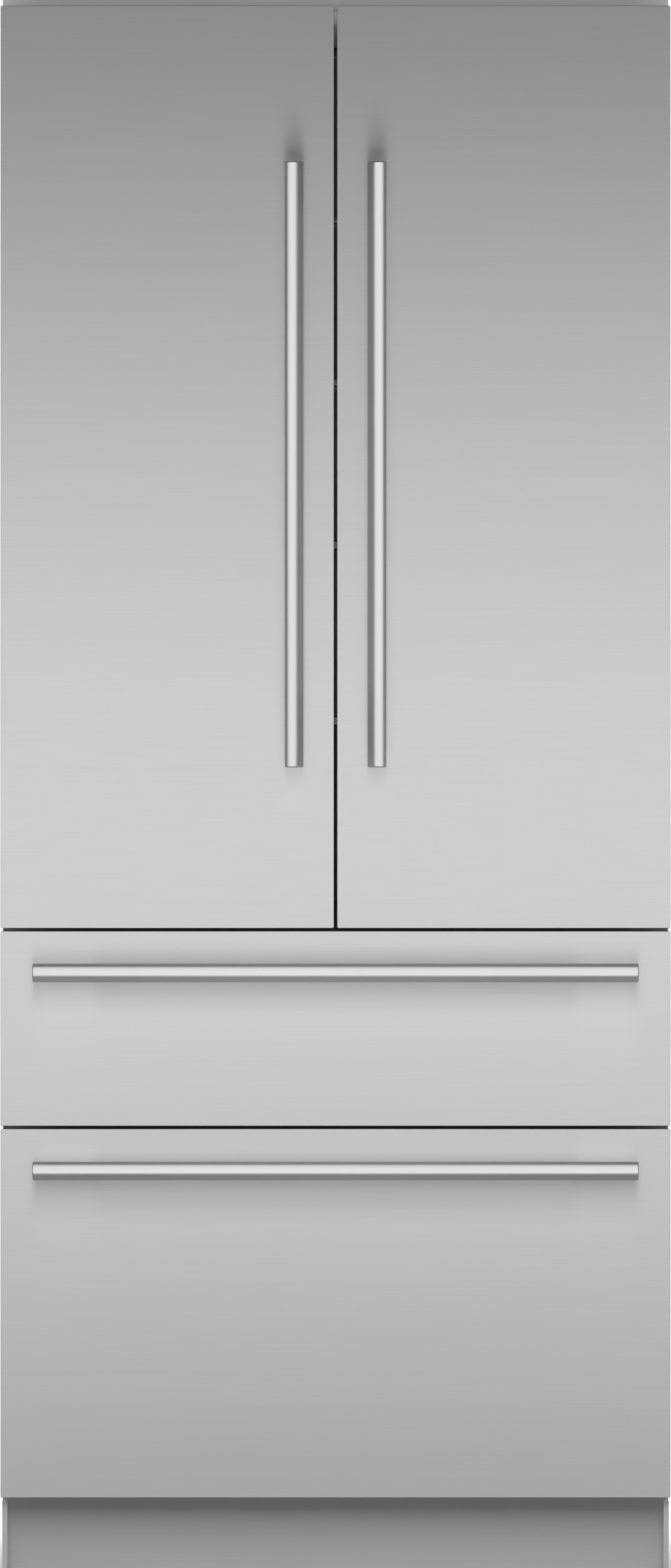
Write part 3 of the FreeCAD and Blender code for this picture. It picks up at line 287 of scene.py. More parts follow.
# %% Room
ROOM_FRONT = 0.22
ROOM_CEILING = 0.03
ROOM_BEHIND = 0.95
CEILING_STEP = (0.0, 0.5)
BEHIND_STEP = (0.15, 0.6)

room = bpy.data.worlds.new("studio")
scene.world = room
room.use_nodes = True
sky = Shading(room.node_tree)
_, toward_back, upward = sky.parts(sky.place(output="Generated"))
ahead = ROOM_FRONT + (ROOM_CEILING - ROOM_FRONT) * sky.step(upward, *CEILING_STEP)
studio = ahead + (ROOM_BEHIND - ahead) * sky.step(toward_back, *BEHIND_STEP)
rays = sky.node("ShaderNodeLightPath").outputs
shown = sky.math("MAXIMUM", Wire(sky, rays["Is Camera Ray"]), Wire(sky, rays["Is Transmission Ray"]))
background = room.node_tree.nodes["Background"]
sky.feed(background.inputs["Color"], (1.0, 1.0, 1.0, 1.0))
sky.feed(background.inputs["Strength"], studio + (1.0 - studio) * shown)
print("room of", len(room.node_tree.nodes), "nodes")

# %% [markdown]
# ## Meshes from grids
# Every new mesh is a grid of points that is worked out as one numpy array and joined to quads. Where a
# grid comes round to its start, or shrinks to a point, the points that fall together are welded. That
# keeps one short helper for rings, tubes and closed shells alike.

# %% Mesh helpers
def surface(points, around=False, along=False):
    """Vertices and quads over grids of points with the shape (..., rows, columns, 3).

    Leading axes are further grids. around joins the last column to the first, and along the last row.
    """
    rows, columns = points.shape[-3:-1]
    index = np.arange(rows * columns).reshape(rows, columns)
    if along:
        index = np.vstack([index, index[:1]])
    if around:
        index = np.hstack([index, index[:, :1]])
    quads = np.stack([index[:-1, :-1], index[:-1, 1:], index[1:, 1:], index[1:, :-1]], axis=-1)
    grids = points.reshape(-1, rows * columns, 3)
    first = rows * columns * np.arange(len(grids))[:, None, None]
    return grids.reshape(-1, 3), (quads.reshape(-1, 4) + first).reshape(-1, 4)


WELD = 1e-6
SHARP_EDGE = math.radians(35)


def piece_mesh(name, *surfaces, closed=True):
    """One mesh of several surfaces: points welded, faces of closed ones turned outwards, sharp edges kept."""
    first = np.cumsum([0] + [len(points) for points, _ in surfaces])
    vertices = np.concatenate([points for points, _ in surfaces])
    quads = np.concatenate([faces + start for (_, faces), start in zip(surfaces, first)])
    mesh = bpy.data.meshes.new(name)
    mesh.from_pydata(vertices.tolist(), [], quads.tolist())
    shape = bmesh.new()
    shape.from_mesh(mesh)
    bmesh.ops.remove_doubles(shape, verts=shape.verts, dist=WELD)
    if closed:
        bmesh.ops.recalc_face_normals(shape, faces=shape.faces)
    shape.to_mesh(mesh)
    shape.free()
    mesh.shade_smooth()
    mesh.set_sharp_from_angle(angle=SHARP_EDGE)
    return mesh


print("mesh helpers ready")

# %% [markdown]
# ## Floor
# The floor is a wide pale disc, which has no corner that could show. For the camera it is paler still:
# there it keeps the machine's shadow and fades into the white of the room farther away. The steel and
# the underside of the machine see it in its own grey.

# %% Floor
FLOOR_RADIUS = 14.0
FLOOR_DROP = 0.0004
FLOOR_HAZE = 0.35
HAZE_START = 0.5
HAZE_END = 1.8

turn, reach = np.meshgrid(np.linspace(0, 2 * math.pi, 96, endpoint=False),
                          np.linspace(0, FLOOR_RADIUS, 15))
disc = np.stack([reach * np.cos(turn), reach * np.sin(turn), np.full_like(turn, -FLOOR_DROP)], axis=-1)
floor_mesh = piece_mesh("floor", surface(disc[:, ::-1], around=True), closed=False)
floor = bpy.data.objects.new("floor", floor_mesh)
scene.collection.objects.link(floor)
paint = Finish("floor_paint", roughness=0.55)
fleck = paint.noise((9.0, 9.0, 9.0), 4.0)
seen = Wire(paint, paint.node("ShaderNodeLightPath").outputs["Is Camera Ray"])
own_grey = paint.between(fleck, grey(0.56), grey(0.62))
paint.set("Base Color", paint.between(seen, own_grey, grey(0.92)))
far_x, far_y, _ = paint.parts(paint.place())
far = paint.step(paint.math("POWER", far_x * far_x + far_y * far_y, 0.5), HAZE_START, HAZE_END)
haze = FLOOR_HAZE + (1.0 - FLOOR_HAZE) * far
white = paint.node("ShaderNodeEmission", {}, {"Color": (1.0, 1.0, 1.0, 1.0), "Strength": 1.0})
paint.mix_in(haze * seen, white)
floor.data.materials.append(paint.material)
print("floor of", len(floor.data.polygons), "faces")

# %% [markdown]
# ## Brushed steel
# The fronts, plinth and handles are stainless steel, brushed in one direction with an abrasive belt.
# Each scratch is a tiny groove, so a reflection stays sharp along the groove and is drawn out across
# it. An anisotropic shader does this: the fronts are brushed from side to side and draw reflections up
# and down, which is why the dark end of a door handle leaves a streak above it. The scratches
# themselves are noise stretched along the brushing.

# %% Brushed steel
COARSE_PER_FINE = 0.22
COARSE_SHARE = 0.1
SCRATCH_SHADE = 0.07
SCRATCH_ROUGHNESS = 0.03
SCRATCH_DEPTH = 0.000002


def brushed_steel(name, shade, rough, stretch, drawn, turn):
    """Steel brushed along the axis where stretch is small.

    drawn is how far reflections are pulled across the scratches, turn the shader's direction of them.
    """
    steel = Finish(name, metallic=1.0, anisotropic=drawn, anisotropic_rotation=turn)
    coarse = steel.noise(tuple(COARSE_PER_FINE * s for s in stretch), 3.0)
    fine = steel.noise(stretch, 2.0)
    grain = coarse * COARSE_SHARE + fine * (1.0 - COARSE_SHARE)
    steel.set("Base Color", steel.between(grain, grey(shade - SCRATCH_SHADE), grey(shade + SCRATCH_SHADE)))
    steel.set("Roughness", rough - SCRATCH_ROUGHNESS + grain * (2 * SCRATCH_ROUGHNESS))
    steel.relief(grain, SCRATCH_DEPTH)
    return steel


# Turns of the shader's own direction, for scratches that run level or upright.
LEVEL = 0.25
UPRIGHT = 0.0

front_steel = brushed_steel("front_steel", 0.62, 0.395, (8.0, 8.0, 5000.0), 1.0, LEVEL)
upright_steel = brushed_steel("upright_bar_steel", 0.45, 0.44, (4000.0, 4000.0, 8.0), 0.3, UPRIGHT)
level_steel = brushed_steel("level_bar_steel", 0.43, 0.40, (8.0, 4000.0, 4000.0), 0.4, LEVEL)
trim_steel = brushed_steel("trim_steel", 0.36, 0.6, (3.0, 300.0, 900.0), 0.3, LEVEL)
trim_steel.set("Metallic", 0.55)
dress(front_steel, "left_door_panel", "right_door_panel", "upper_drawer_panel", "lower_drawer_panel",
      "toe_kick")
dress(trim_steel, "top_trim")
dress(upright_steel, *door_handles)
dress(level_steel, *drawer_handles)
print("steel on the fronts,", len(undressed), "solids left")

# %% [markdown]
# ## Painted and coated metal
# Sprayed paint is never quite flat: it dries in shallow waves called orange peel. Zinc plating and
# rolled aluminium are cloudy. A photograph of each could be wrapped round the pieces, but all of them
# are one thing: a colour that wanders slightly, a roughness that wanders with it and a very shallow
# relief.

# %% Coated metals
def coated(name, shade, rough, waves, depth, wander=0.03, warm=0.0, **constants):
    """A finish with soft waves: shade and roughness wander over them, and they stand depth metres high."""
    coat = Finish(name, **constants)
    wave = coat.noise((waves, waves, waves), 3.0)
    cloud = coat.noise((7.0, 7.0, 7.0), 4.0)
    darker, paler = (grey(shade * (1 + sign * wander), warm) for sign in (-1, 1))
    coat.set("Base Color", coat.between(cloud, darker, paler))
    coat.set("Roughness", rough - 0.05 + cloud * 0.06 + wave * 0.04)
    coat.relief(wave, depth)
    return coat


cabinet_paint = coated("cabinet_paint", 0.33, 0.42, 420.0, 0.00003, warm=-0.006)
zinc_steel = coated("zinc_steel", 0.55, 0.36, 260.0, 0.00002, wander=0.08, metallic=0.9)
black_enamel = coated("black_enamel", 0.022, 0.34, 320.0, 0.00004, wander=0.2)
fin_aluminium = coated("fin_aluminium", 0.72, 0.34, 500.0, 0.00001, wander=0.06, metallic=1.0)
trim_metal = coated("trim_metal", 0.70, 0.3, 700.0, 0.000005, metallic=1.0)
dress(cabinet_paint, "outer_shell")
dress(zinc_steel, "base_frame", "levelling_feet", "anti_tip_brackets", "hinge_brackets", "hinge_pins",
      "slide_outers", "upper_slide_middles", "lower_slide_middles", "upper_slide_inners", "lower_slide_inners")
dress(black_enamel, "compressor", "condenser")
dress(fin_aluminium, "evaporator")
dress(trim_metal, "shelf_frames")
print("coated metals on,", len(undressed), "solids left")

# %% [markdown]
# ## Copper, brass and galvanised sheet
# Copper pipe tarnishes in patches, and turned brass shows faint rings. On the back panel, hot-dipped
# zinc has frozen in flat crystals, the spangle: each cell of a Voronoi pattern is one crystal with its
# own shade and gloss.

# %% Copper, brass and galvanised sheet
copper = Finish("copper", metallic=1.0)
tarnish = copper.noise((60.0, 60.0, 60.0), 4.0)
copper.set("Base Color", copper.between(tarnish, (0.55, 0.27, 0.17, 1.0), (0.78, 0.45, 0.31, 1.0)))
copper.set("Roughness", 0.22 + tarnish * 0.2)
brass = Finish("brass", metallic=1.0)
lustre = brass.noise((240.0, 240.0, 30.0), 3.0)
brass.set("Base Color", brass.between(lustre, (0.62, 0.46, 0.2, 1.0), (0.78, 0.61, 0.32, 1.0)))
brass.set("Roughness", 0.24 + lustre * 0.14)

spangle = Finish("galvanised", metallic=0.9)
crystal = spangle.node("ShaderNodeTexVoronoi", {}, {"Vector": spangle.place(), "Scale": 85.0})
facet = spangle.parts(Wire(spangle, crystal.outputs["Color"]))[0]
cloud = spangle.noise((4.0, 4.0, 4.0), 4.0)
shimmer = facet * 0.7 + cloud * 0.3
spangle.set("Base Color", spangle.between(shimmer, grey(0.5, -0.008), grey(0.68, -0.004)))
spangle.set("Roughness", 0.3 + facet * 0.2)

dress(copper, "refrigerant_lines")
dress(brass, "left_hinge_bushes", "right_hinge_bushes")
dress(spangle, "back_panel", "rear_cover")
print("metals on,", len(undressed), "solids left")

# %% [markdown]
# ## Plastics, rubber and foam
# The liners are sheets drawn by vacuum over a mould: glossy, white and a little uneven. Mouldings in
# dark plastic have a spark-eroded grain that breaks up their gloss. Foam shows only in the machine bay.

# %% Plastics
white_liner = coated("white_liner", 0.84, 0.28, 160.0, 0.00004, wander=0.012, warm=-0.004)
slab_white = coated("door_liner_white", 0.81, 0.34, 240.0, 0.00005, wander=0.012, warm=-0.003)
frame_grey = coated("frame_grey", 0.07, 0.5, 900.0, 0.00006, wander=0.06)
dark_plastic = coated("dark_plastic", 0.05, 0.5, 1100.0, 0.00008, wander=0.1)
seal_rubber = coated("seal_rubber", 0.24, 0.6, 500.0, 0.00004, wander=0.05)
foam = Finish("foam", roughness=0.9)
cell = foam.noise((300.0, 300.0, 300.0), 4.0)
foam.set("Base Color", foam.between(cell, (0.62, 0.52, 0.3, 1.0), (0.82, 0.74, 0.5, 1.0)))
foam.relief(cell, 0.0006)

dress(white_liner, "fresh_food_liner", "freezer_liners", "shelf_rails", "air_duct", "evaporator_cover",
      "ice_maker")
dress(slab_white, "left_door_slab", "right_door_slab", "upper_drawer_slab", "lower_drawer_slab")
dress(frame_grey, "front_frame", "flipper_mullion")
dress(dark_plastic, "fan_shroud", "water_valve", "condenser_fan", "evaporator_fan", "rear_rollers")
dress(seal_rubber, "left_door_gasket", "right_door_gasket", "upper_drawer_gasket", "lower_drawer_gasket")
dress(foam, "cabinet_insulation")
print("plastics on,", len(undressed), "solids left")

# %% [markdown]
# ## Glass and clear mouldings
# Float glass is faintly green and carries a few smears; bins and drawers are clear moulded plastic with
# a duller gloss. Light bends through both, but for shadows they are plain tinted windows: tracing bent
# light to every lamp would take far longer and leave the shelves below in the dark.

# %% Clear pieces
def clear(name, colour, rough, smear):
    """See-through finish; smears raise the roughness, and light falls through it onto what stands behind."""
    made = Finish(name, transmission_weight=1.0, ior=1.5)
    cloud = made.noise((6.0, 6.0, 6.0), 4.0)
    streak = made.step(cloud, 0.5, 0.75)
    paler = tuple(min(1.0, c + 0.02) for c in colour)
    made.set("Base Color", made.between(cloud, colour, paler))
    made.set("Roughness", rough + streak * smear)
    shadow = Wire(made, made.node("ShaderNodeLightPath").outputs["Is Shadow Ray"])
    through = made.node("ShaderNodeBsdfTransparent", {}, {"Color": colour})
    made.mix_in(shadow, through)
    return made


shelf_glass = clear("shelf_glass", (0.93, 0.98, 0.96, 1.0), 0.01, 0.05)
clear_plastic = clear("clear_plastic", (0.955, 0.97, 0.975, 1.0), 0.05, 0.06)
dress(shelf_glass, "shelf_glass")
dress(clear_plastic, "crisper_drawers", "left_door_bins", "right_door_bins", "upper_drawer_basket",
      "lower_drawer_basket")
print("clear pieces on,", len(undressed), "solids left")

# %% [markdown]
# ## Lamps and control strip
# A lamp is a frosted lens with a row of light-emitting chips behind it, so its glow swells once for
# every chip. The control strip is black glass with a few lit marks. Both patterns repeat along one
# axis: a distance that runs up and down between 0 and half the pitch gives them without a picture.

# %% Lamps and control strip
CHIP_PITCH = 0.022
lens = Finish("lamp_lens", roughness=0.3, emission_strength=0.8)
_, _, lens_z = lens.parts(lens.place())
chip = lens.math("PINGPONG", lens_z, CHIP_PITCH / 2) / (CHIP_PITCH / 2)
glow = 1.0 - lens.step(chip, 0.0, 0.8)
lens.set("Base Color", lens.between(lens.noise((40.0, 40.0, 40.0)), grey(0.86), grey(0.92)))
lens.set("Emission Color", lens.between(glow, (0.75, 0.77, 0.8, 1.0), (1.0, 0.99, 0.96, 1.0)))
dress(lens, "light_bars")

MARK_PITCH = 0.05
RING_INSIDE = (0.0062, 0.0068)
RING_OUTSIDE = (0.0076, 0.0082)
DOT_EDGE = (0.0014, 0.002)
strip = Finish("control_glass", coat_weight=0.5, emission_strength=0.8)
strip_x, strip_y, _ = strip.parts(strip.place())
control_low, control_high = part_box("control_panel")
mark_x = strip.math("PINGPONG", strip_x, MARK_PITCH / 2)
mark_y = strip.math("ABSOLUTE", strip_y - (control_low.y + control_high.y) / 2)
mark_far = strip.math("POWER", mark_x * mark_x + mark_y * mark_y, 0.5)
ring = strip.step(mark_far, *RING_INSIDE) * (1.0 - strip.step(mark_far, *RING_OUTSIDE))
dot = 1.0 - strip.step(mark_far, *DOT_EDGE)
lit = strip.math("MAXIMUM", ring, dot)
dust = strip.noise((30.0, 30.0, 30.0), 4.0)
strip.set("Base Color", strip.between(dust, grey(0.012), grey(0.02)))
strip.set("Roughness", 0.06 + dust * 0.1)
strip.set("Emission Color", strip.between(lit, grey(0.0), (0.75, 0.86, 1.0, 1.0)))
dress(strip, "control_panel")
print("still without a finish:", sorted(undressed))

# %% [markdown]
# ## Helpers for new pieces
# The solids are flat and square where the real pieces are moulded, pressed or turned. Each new piece is
# a grid of points worked out with numpy: an outline carried along a path, a profile turned round an
# axis or a height over a flat patch. Equal pieces are one grid with one more axis, so that nothing
# loops over points.

# %% Piece helpers
MM = 0.001
# How far the underside of a ridge lies inside the sheet that it stands on.
SINK = 0.7 * MM
SIDEWAYS, BACKWARD, UPWARD = np.eye(3)


def add_piece(name, mesh, finish, body, slot, *replaced):
    """Places a mesh in the machine: its finish, the body it rides on, the solids it replaces. The slot is not
    used.
    """
    piece = bpy.data.objects.new(name, mesh)
    scene.collection.objects.link(piece)
    mesh.materials.append(finish.material)
    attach(piece, body)
    if replaced:
        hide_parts(*replaced)
    print(name, "on", body, "with", len(mesh.polygons), "faces")


def capped(rings):
    """Rings of points with one more ring at each end, drawn together to the middle of the last."""
    middle = rings.mean(axis=-2, keepdims=True) + np.zeros_like(rings)
    return np.concatenate([middle[..., :1, :, :], rings, middle[..., -1:, :, :]], axis=-3)


def swept(path, across, up, outline):
    """Each point is path + across * u + up * v for every (u, v) of a closed outline; both ends are capped."""
    u, v = outline[:, :1], outline[:, 1:]
    return capped(path[..., None, :] + across[..., None, :] * u + up[..., None, :] * v)


def turned(centre, axis, side, profile, steps=40):
    """Profile of (radius, height) turned round an axis.

    Each point is centre + axis * height + radius * (side * cos + other * sin), where other is square to both.
    """
    angle = np.linspace(0, 2 * np.pi, steps, endpoint=False)[:, None]
    ring = side * np.cos(angle) + np.cross(axis, side) * np.sin(angle)
    return centre + axis * profile[:, None, 1:] + ring * profile[:, None, :1]


def rounded_rectangle(half_width, half_height, radius, steps=7):
    """Points round a rectangle whose corners are quarter circles, and the outward normals there."""
    angle = np.pi / 2 * (np.arange(4)[:, None] + np.linspace(0, 1, steps))
    normal = np.stack([np.cos(angle), np.sin(angle)], axis=-1)
    corner = np.array([(1, 1), (-1, 1), (-1, -1), (1, -1)]) * (half_width - radius, half_height - radius)
    return (corner[:, None] + radius * normal).reshape(-1, 2), normal.reshape(-1, 2)


def upright(plane, y):
    """Points (x, z) of an upright plane at the depth y."""
    return np.stack(np.broadcast_arrays(plane[..., 0], y, plane[..., 1]), axis=-1)


def levels(name, axis):
    """The different places of a solid's vertices along one axis, to a tenth of a millimetre."""
    places = np.empty(3 * len(solids[name].data.vertices))
    solids[name].data.vertices.foreach_get("co", places)
    return np.unique(np.round(places.reshape(-1, 3)[:, axis], 4))


print("piece helpers ready")

# %% [markdown]
# ## Door and drawer seals
# A refrigerator seal is extruded soft vinyl: a foot that snaps into the door, a thin bellows and a head
# that holds a strip magnet. Lengths of it are welded at the corners to a ring. The outline of the
# extrusion is carried round a rectangle with tight corners and takes the place of the plain ring of the
# solids.

# %% Seals
SEAL_HALF = np.array([(7.0, 0.0), (7.0, 1.4), (4.4, 2.0), (3.2, 3.0), (4.8, 4.2), (3.4, 5.4), (5.6, 6.2),
                      (6.4, 7.4), (5.8, 9.0), (4.6, 9.7)]) * MM
SEAL_BEND = 10 * MM
SEAL_OUTLINE = np.concatenate([SEAL_HALF, SEAL_HALF[::-1] * (-1, 1)])

for owner in ("left_door", "right_door", "upper_drawer", "lower_drawer"):
    low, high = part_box(owner + "_gasket")
    foot = SEAL_HALF[0, 0]
    line, normal = rounded_rectangle((high.x - low.x) / 2 - foot, (high.z - low.z) / 2 - foot, SEAL_BEND)
    loop = upright(line + ((low.x + high.x) / 2, (low.z + high.z) / 2), low.y)
    outward = upright(normal, 0.0)[:, None]
    ring = loop[:, None] + outward * SEAL_OUTLINE[:, :1] + BACKWARD * SEAL_OUTLINE[:, 1:]
    mesh = piece_mesh(owner + "_seal", surface(ring, around=True, along=True))
    add_piece(owner + "_seal", mesh, seal_rubber, owner, "seal_rubber", owner + "_gasket")

# %% [markdown]
# ## Mullion guide
# The bar that closes the gap behind the doors folds by itself, because a pin on its upper end runs in a
# moulded guide at the middle of the top rail. The guide is a ramp that narrows to a nose between the
# two seals: a height over a patch of the rail whose width changes on the way down. Light falls on it
# from above, between the doors and the rail, so the dark gap between the doors grows light at its upper
# end. A panel over the machine gives that light.

# %% Mullion guide
GUIDE_TOP = 2.1175
GUIDE_LENGTH = 51 * MM
GUIDE_DEPTH = 7.8 * MM
GUIDE_HALF_WIDTH = 26 * MM
GUIDE_NOSE = 5 * MM
GUIDE_RAMP = 0.45
GUIDE_NECK = (0.46, 0.57)
GUIDE_TIP = 1 / 16
GUIDE_LIGHT_HEIGHT = 2.3
GUIDE_LIGHT_GAPS = (-0.01, -0.15)


def eased(value, low, high):
    """Rises from 0 at low to 1 at high as half a cosine wave."""
    return 0.5 - 0.5 * np.cos(np.pi * np.clip((value - low) / (high - low), 0, 1))


def guide_ramp(rail_y):
    """Rows from the top down, each across the guide and back behind the rail's face.

    The half width is eased from the full one to the nose at the neck. The depth rises as a quarter sine wave
    over the ramp and falls as a quarter circle at the tip; across the guide it is depth * (1 - side^8).
    """
    down = np.linspace(0, 1, 41)[:, None]
    side = np.concatenate([np.linspace(-1, 1, 17), [1, -1]])
    half_width = GUIDE_NOSE + (GUIDE_HALF_WIDTH - GUIDE_NOSE) * (1 - eased(down, *GUIDE_NECK))
    tip = np.clip((down - 1 + GUIDE_TIP) / GUIDE_TIP, 0, 1)
    depth = GUIDE_DEPTH * np.sin(np.pi / 2 * np.clip(down / GUIDE_RAMP, 0, 1)) * np.sqrt(1 - tip ** 2)
    rise = depth * (1 - side ** 8)
    rise[:, -2:] = -SINK
    place = (side * half_width, rail_y - rise, GUIDE_TOP - down * GUIDE_LENGTH)
    return np.stack(np.broadcast_arrays(*place), axis=-1)


ramp = guide_ramp(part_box("front_frame")[0].y)
mesh = piece_mesh("mullion_guide", surface(capped(ramp), around=True))
add_piece("mullion_guide", mesh, slab_white, "cabinet", "slab_white")
light_ends = [(gap, GUIDE_LIGHT_HEIGHT) for gap in GUIDE_LIGHT_GAPS]
panel_light("gap_light", *light_ends, "mullion_guide")

# %% [markdown]
# ## Formed liner
# The fresh food liner is one sheet of plastic, drawn hot over a mould, so that every inside corner is
# round: dirt has no edge to sit in. A rectangle with round corners runs to the back; there it shrinks
# along a quarter circle and closes to the flat back, which makes the three-way corners part of a
# sphere. A second skin is its outside.

# %% Liner
LINER_BEND = 14 * MM
LINER_SHEET = 2.5 * MM

low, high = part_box("fresh_food_liner")
half_x = (high.x - low.x) / 2 - LINER_SHEET
half_z = (high.z - low.z) / 2 - LINER_SHEET
line, normal = rounded_rectangle(half_x, half_z, LINER_BEND)
core = line - LINER_BEND * normal
bend = np.linspace(0, np.pi / 2, 8)


def liner_skin(radius):
    """Rings from front to back: core + normal * radius * cos(a), at the depth of the bend + radius * sin(a)."""
    reach = np.concatenate([[radius], radius * np.cos(bend), [0.0]])[:, None, None]
    bend_start = high.y - LINER_SHEET - LINER_BEND
    depth = np.concatenate([[low.y], bend_start + radius * np.sin(bend), [bend_start + radius]])
    rings = core + reach * normal
    rings[-1] = 0.0
    return upright(rings + (0.0, (low.z + high.z) / 2), depth[:, None])


skins = np.concatenate([liner_skin(LINER_BEND + LINER_SHEET)[::-1], liner_skin(LINER_BEND)])
mesh = piece_mesh("formed_liner", surface(skins, around=True))
add_piece("formed_liner", mesh, white_liner, "cabinet", "white_liner", "fresh_food_liner")

# %% [markdown]
# ## Shelf noses and bin trims
# Shelves carry an aluminium extrusion with a round nose and a groove along their front edge, and door
# bins have a channel clipped over their front wall. A cube with bevelled edges would show neither
# groove nor lip, so each is the outline of the real extrusion, carried along a straight line.

# %% Shelf noses and bin trims
NOSE = np.array([(0, 0), (3.2, 0), (4.6, 0.5), (5.6, 1.6), (6, 3), (6, 5.6), (5.3, 6.2), (5.3, 7.8), (6, 8.4),
                 (6, 11), (5.6, 12.4), (4.6, 13.5), (3.2, 14), (0, 14)]) * MM
CHANNEL = np.array([(-4.5, -12), (-4.5, 0.8), (-3.8, 1.5), (0.8, 1.5), (1.5, 0.8), (1.5, -12), (0.1, -12),
                    (0.1, 0), (-3.1, 0), (-3.1, -12)]) * MM
BIN_BEND = 14 * MM

low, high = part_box("shelf_frames")
tops = levels("shelf_glass", 2)[1::2]
ends = np.array([low.x, high.x])
path = np.stack(np.broadcast_arrays(ends, low.y, tops[:, None] - NOSE[:, 1].max()), axis=-1)
mesh = piece_mesh("shelf_noses", surface(swept(path, -BACKWARD, UPWARD, NOSE), around=True))
add_piece("shelf_noses", mesh, trim_metal, "cabinet", "trim_metal")

for door in ("left_door", "right_door"):
    low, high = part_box(door + "_bins")
    tops = levels(door + "_bins", 2)[2::3]
    ends = np.array([low.x + BIN_BEND, high.x - BIN_BEND])
    path = np.stack(np.broadcast_arrays(ends, high.y, tops[:, None]), axis=-1)
    mesh = piece_mesh(door + "_bin_trims", surface(swept(path, BACKWARD, UPWARD, CHANNEL), around=True))
    add_piece(door + "_bin_trims", mesh, trim_metal, door, "trim_metal")

# %% [markdown]
# ## Rims
# Moulded baskets and drawers are stiffened by a bead round the rim. It could be a bevelled curve; here
# a circle is carried round a rectangle with round corners, so that the bead closes on itself without a
# seam.

# %% Rims
RIM = 2.1 * MM
BASKET_FLANGE = 14 * MM
BASKET_BEND = 14 * MM
CRISPER_BEND = 12 * MM


def rim_bead(x0, x1, y0, y1, z, bend, radius):
    """Circle of the radius carried round a tray's rim: each point is the loop + outward * cos + up * sin."""
    line, normal = rounded_rectangle((x1 - x0) / 2, (y1 - y0) / 2, bend)
    angle = np.linspace(0, 2 * np.pi, 10, endpoint=False)
    bead = radius * np.stack([np.cos(angle), np.sin(angle)], axis=-1)
    loop = np.concatenate([line + ((x0 + x1) / 2, (y0 + y1) / 2), np.full((len(line), 1), z)], axis=1)
    outward = np.concatenate([normal, np.zeros((len(line), 1))], axis=1)
    rings = loop[:, None] + outward[:, None] * bead[:, :1] + UPWARD * bead[:, 1:]
    return surface(rings, around=True, along=True)


for drawer in ("upper_drawer", "lower_drawer"):
    low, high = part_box(drawer + "_basket")
    inset = BASKET_FLANGE + RIM
    bead = rim_bead(low.x + inset, high.x - inset, low.y + RIM, high.y - RIM, high.z, BASKET_BEND, RIM)
    add_piece(drawer + "_rim", piece_mesh(drawer + "_rim", bead), clear_plastic, drawer, "clear_plastic")

low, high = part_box("crisper_drawers")
shelf_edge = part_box("shelf_frames")[0].y
wall_x = levels("crisper_drawers", 0)
inner_x = wall_x[wall_x > 0].min()
rims = [rim_bead(x0 + RIM, x1 - RIM, shelf_edge + RIM, high.y - RIM, high.z, CRISPER_BEND, RIM)
        for x0, x1 in ((low.x, -inner_x), (inner_x, high.x))]
add_piece("crisper_rims", piece_mesh("crisper_rims", *rims), clear_plastic, "cabinet", "clear_plastic")

# %% [markdown]
# ## Screws
# Sheet-metal screws hold the hinges, the side sheets, the covers and the angles on top. A head is a
# shallow dome with a cross pressed into it. On a polar grid the dome is a height over the distance from
# the middle, and wherever one of two crossing bars lies it drops by the depth of the recess.

# %% Screw heads
PAN_HEAD = (4.2 * MM, 2.2 * MM)
LOW_HEAD = (3.6 * MM, 1.8 * MM)
FLAT_HEAD = (4.6 * MM, 1.6 * MM)
CROSS_HALF_WIDTH = 0.14
CROSS_REACH = 0.6
CROSS_DEPTH = 0.6
TURN_PER_SCREW = 0.7


def screw_heads(seats, facing, side, head=PAN_HEAD):
    """Heads of a (radius, height) on their seats, each turned a little further than the last.

    Rings t run from the middle to the rim, lifted by height * sqrt(1 - 0.8 t²), less the depth of the cross.
    """
    radius, height = head
    ring = np.array([0, 0.16, 0.3, 0.44, 0.58, 0.62, 0.8, 0.94, 1, 1, 0])[:, None]
    angle = np.linspace(0, 2 * np.pi, 32, endpoint=False)
    u = ring * np.cos(angle)
    v = ring * np.sin(angle)
    cross = (np.minimum(abs(u), abs(v)) < CROSS_HALF_WIDTH) & (ring < CROSS_REACH)
    lift = np.sqrt(1 - 0.8 * ring ** 2) - CROSS_DEPTH * cross
    lift[-2:] = 0.0
    turn = TURN_PER_SCREW * np.arange(len(seats))[:, None, None]
    along_side = (u * np.cos(turn) - v * np.sin(turn))[..., None] * side
    along_other = (u * np.sin(turn) + v * np.cos(turn))[..., None] * np.cross(facing, side)
    disc = radius * (along_side + along_other)
    heads = np.array(seats)[:, None, None] + disc + height * lift[..., None] * facing
    return surface(heads, around=True)


def lattice(*axes):
    """Every combination of the places given along x, y and z."""
    return np.stack(np.meshgrid(*axes, indexing="ij"), axis=-1).reshape(-1, 3)


print("screw heads of", [round(1000 * head[0], 1) for head in (PAN_HEAD, LOW_HEAD, FLAT_HEAD)], "mm radius")

# %% [markdown]
# ## Where the screws sit
# Screws stand in rows: on the flanges of the hinges, along the stiles behind the side sheets, round the
# back panel and its cover, and on the angles. They could be copied one by one; here every row is a
# lattice of places on the solids that it holds together, and all heads of a row are one mesh.

# %% Screws
FLANGE_FACE = 6 * MM
FLANGE_MIDDLE = 4.5 * MM
FLANGE_X = (-0.397, -0.379, 0.379, 0.397)
low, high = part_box("hinge_brackets")
flange_z = (low.z + FLANGE_MIDDLE, high.z - FLANGE_MIDDLE)
hinge_seats = lattice(FLANGE_X, high.y - FLANGE_FACE, flange_z)
mesh = piece_mesh("hinge_screws", screw_heads(hinge_seats, -BACKWARD, SIDEWAYS, LOW_HEAD))
add_piece("hinge_screws", mesh, zinc_steel, "cabinet", "zinc_steel")

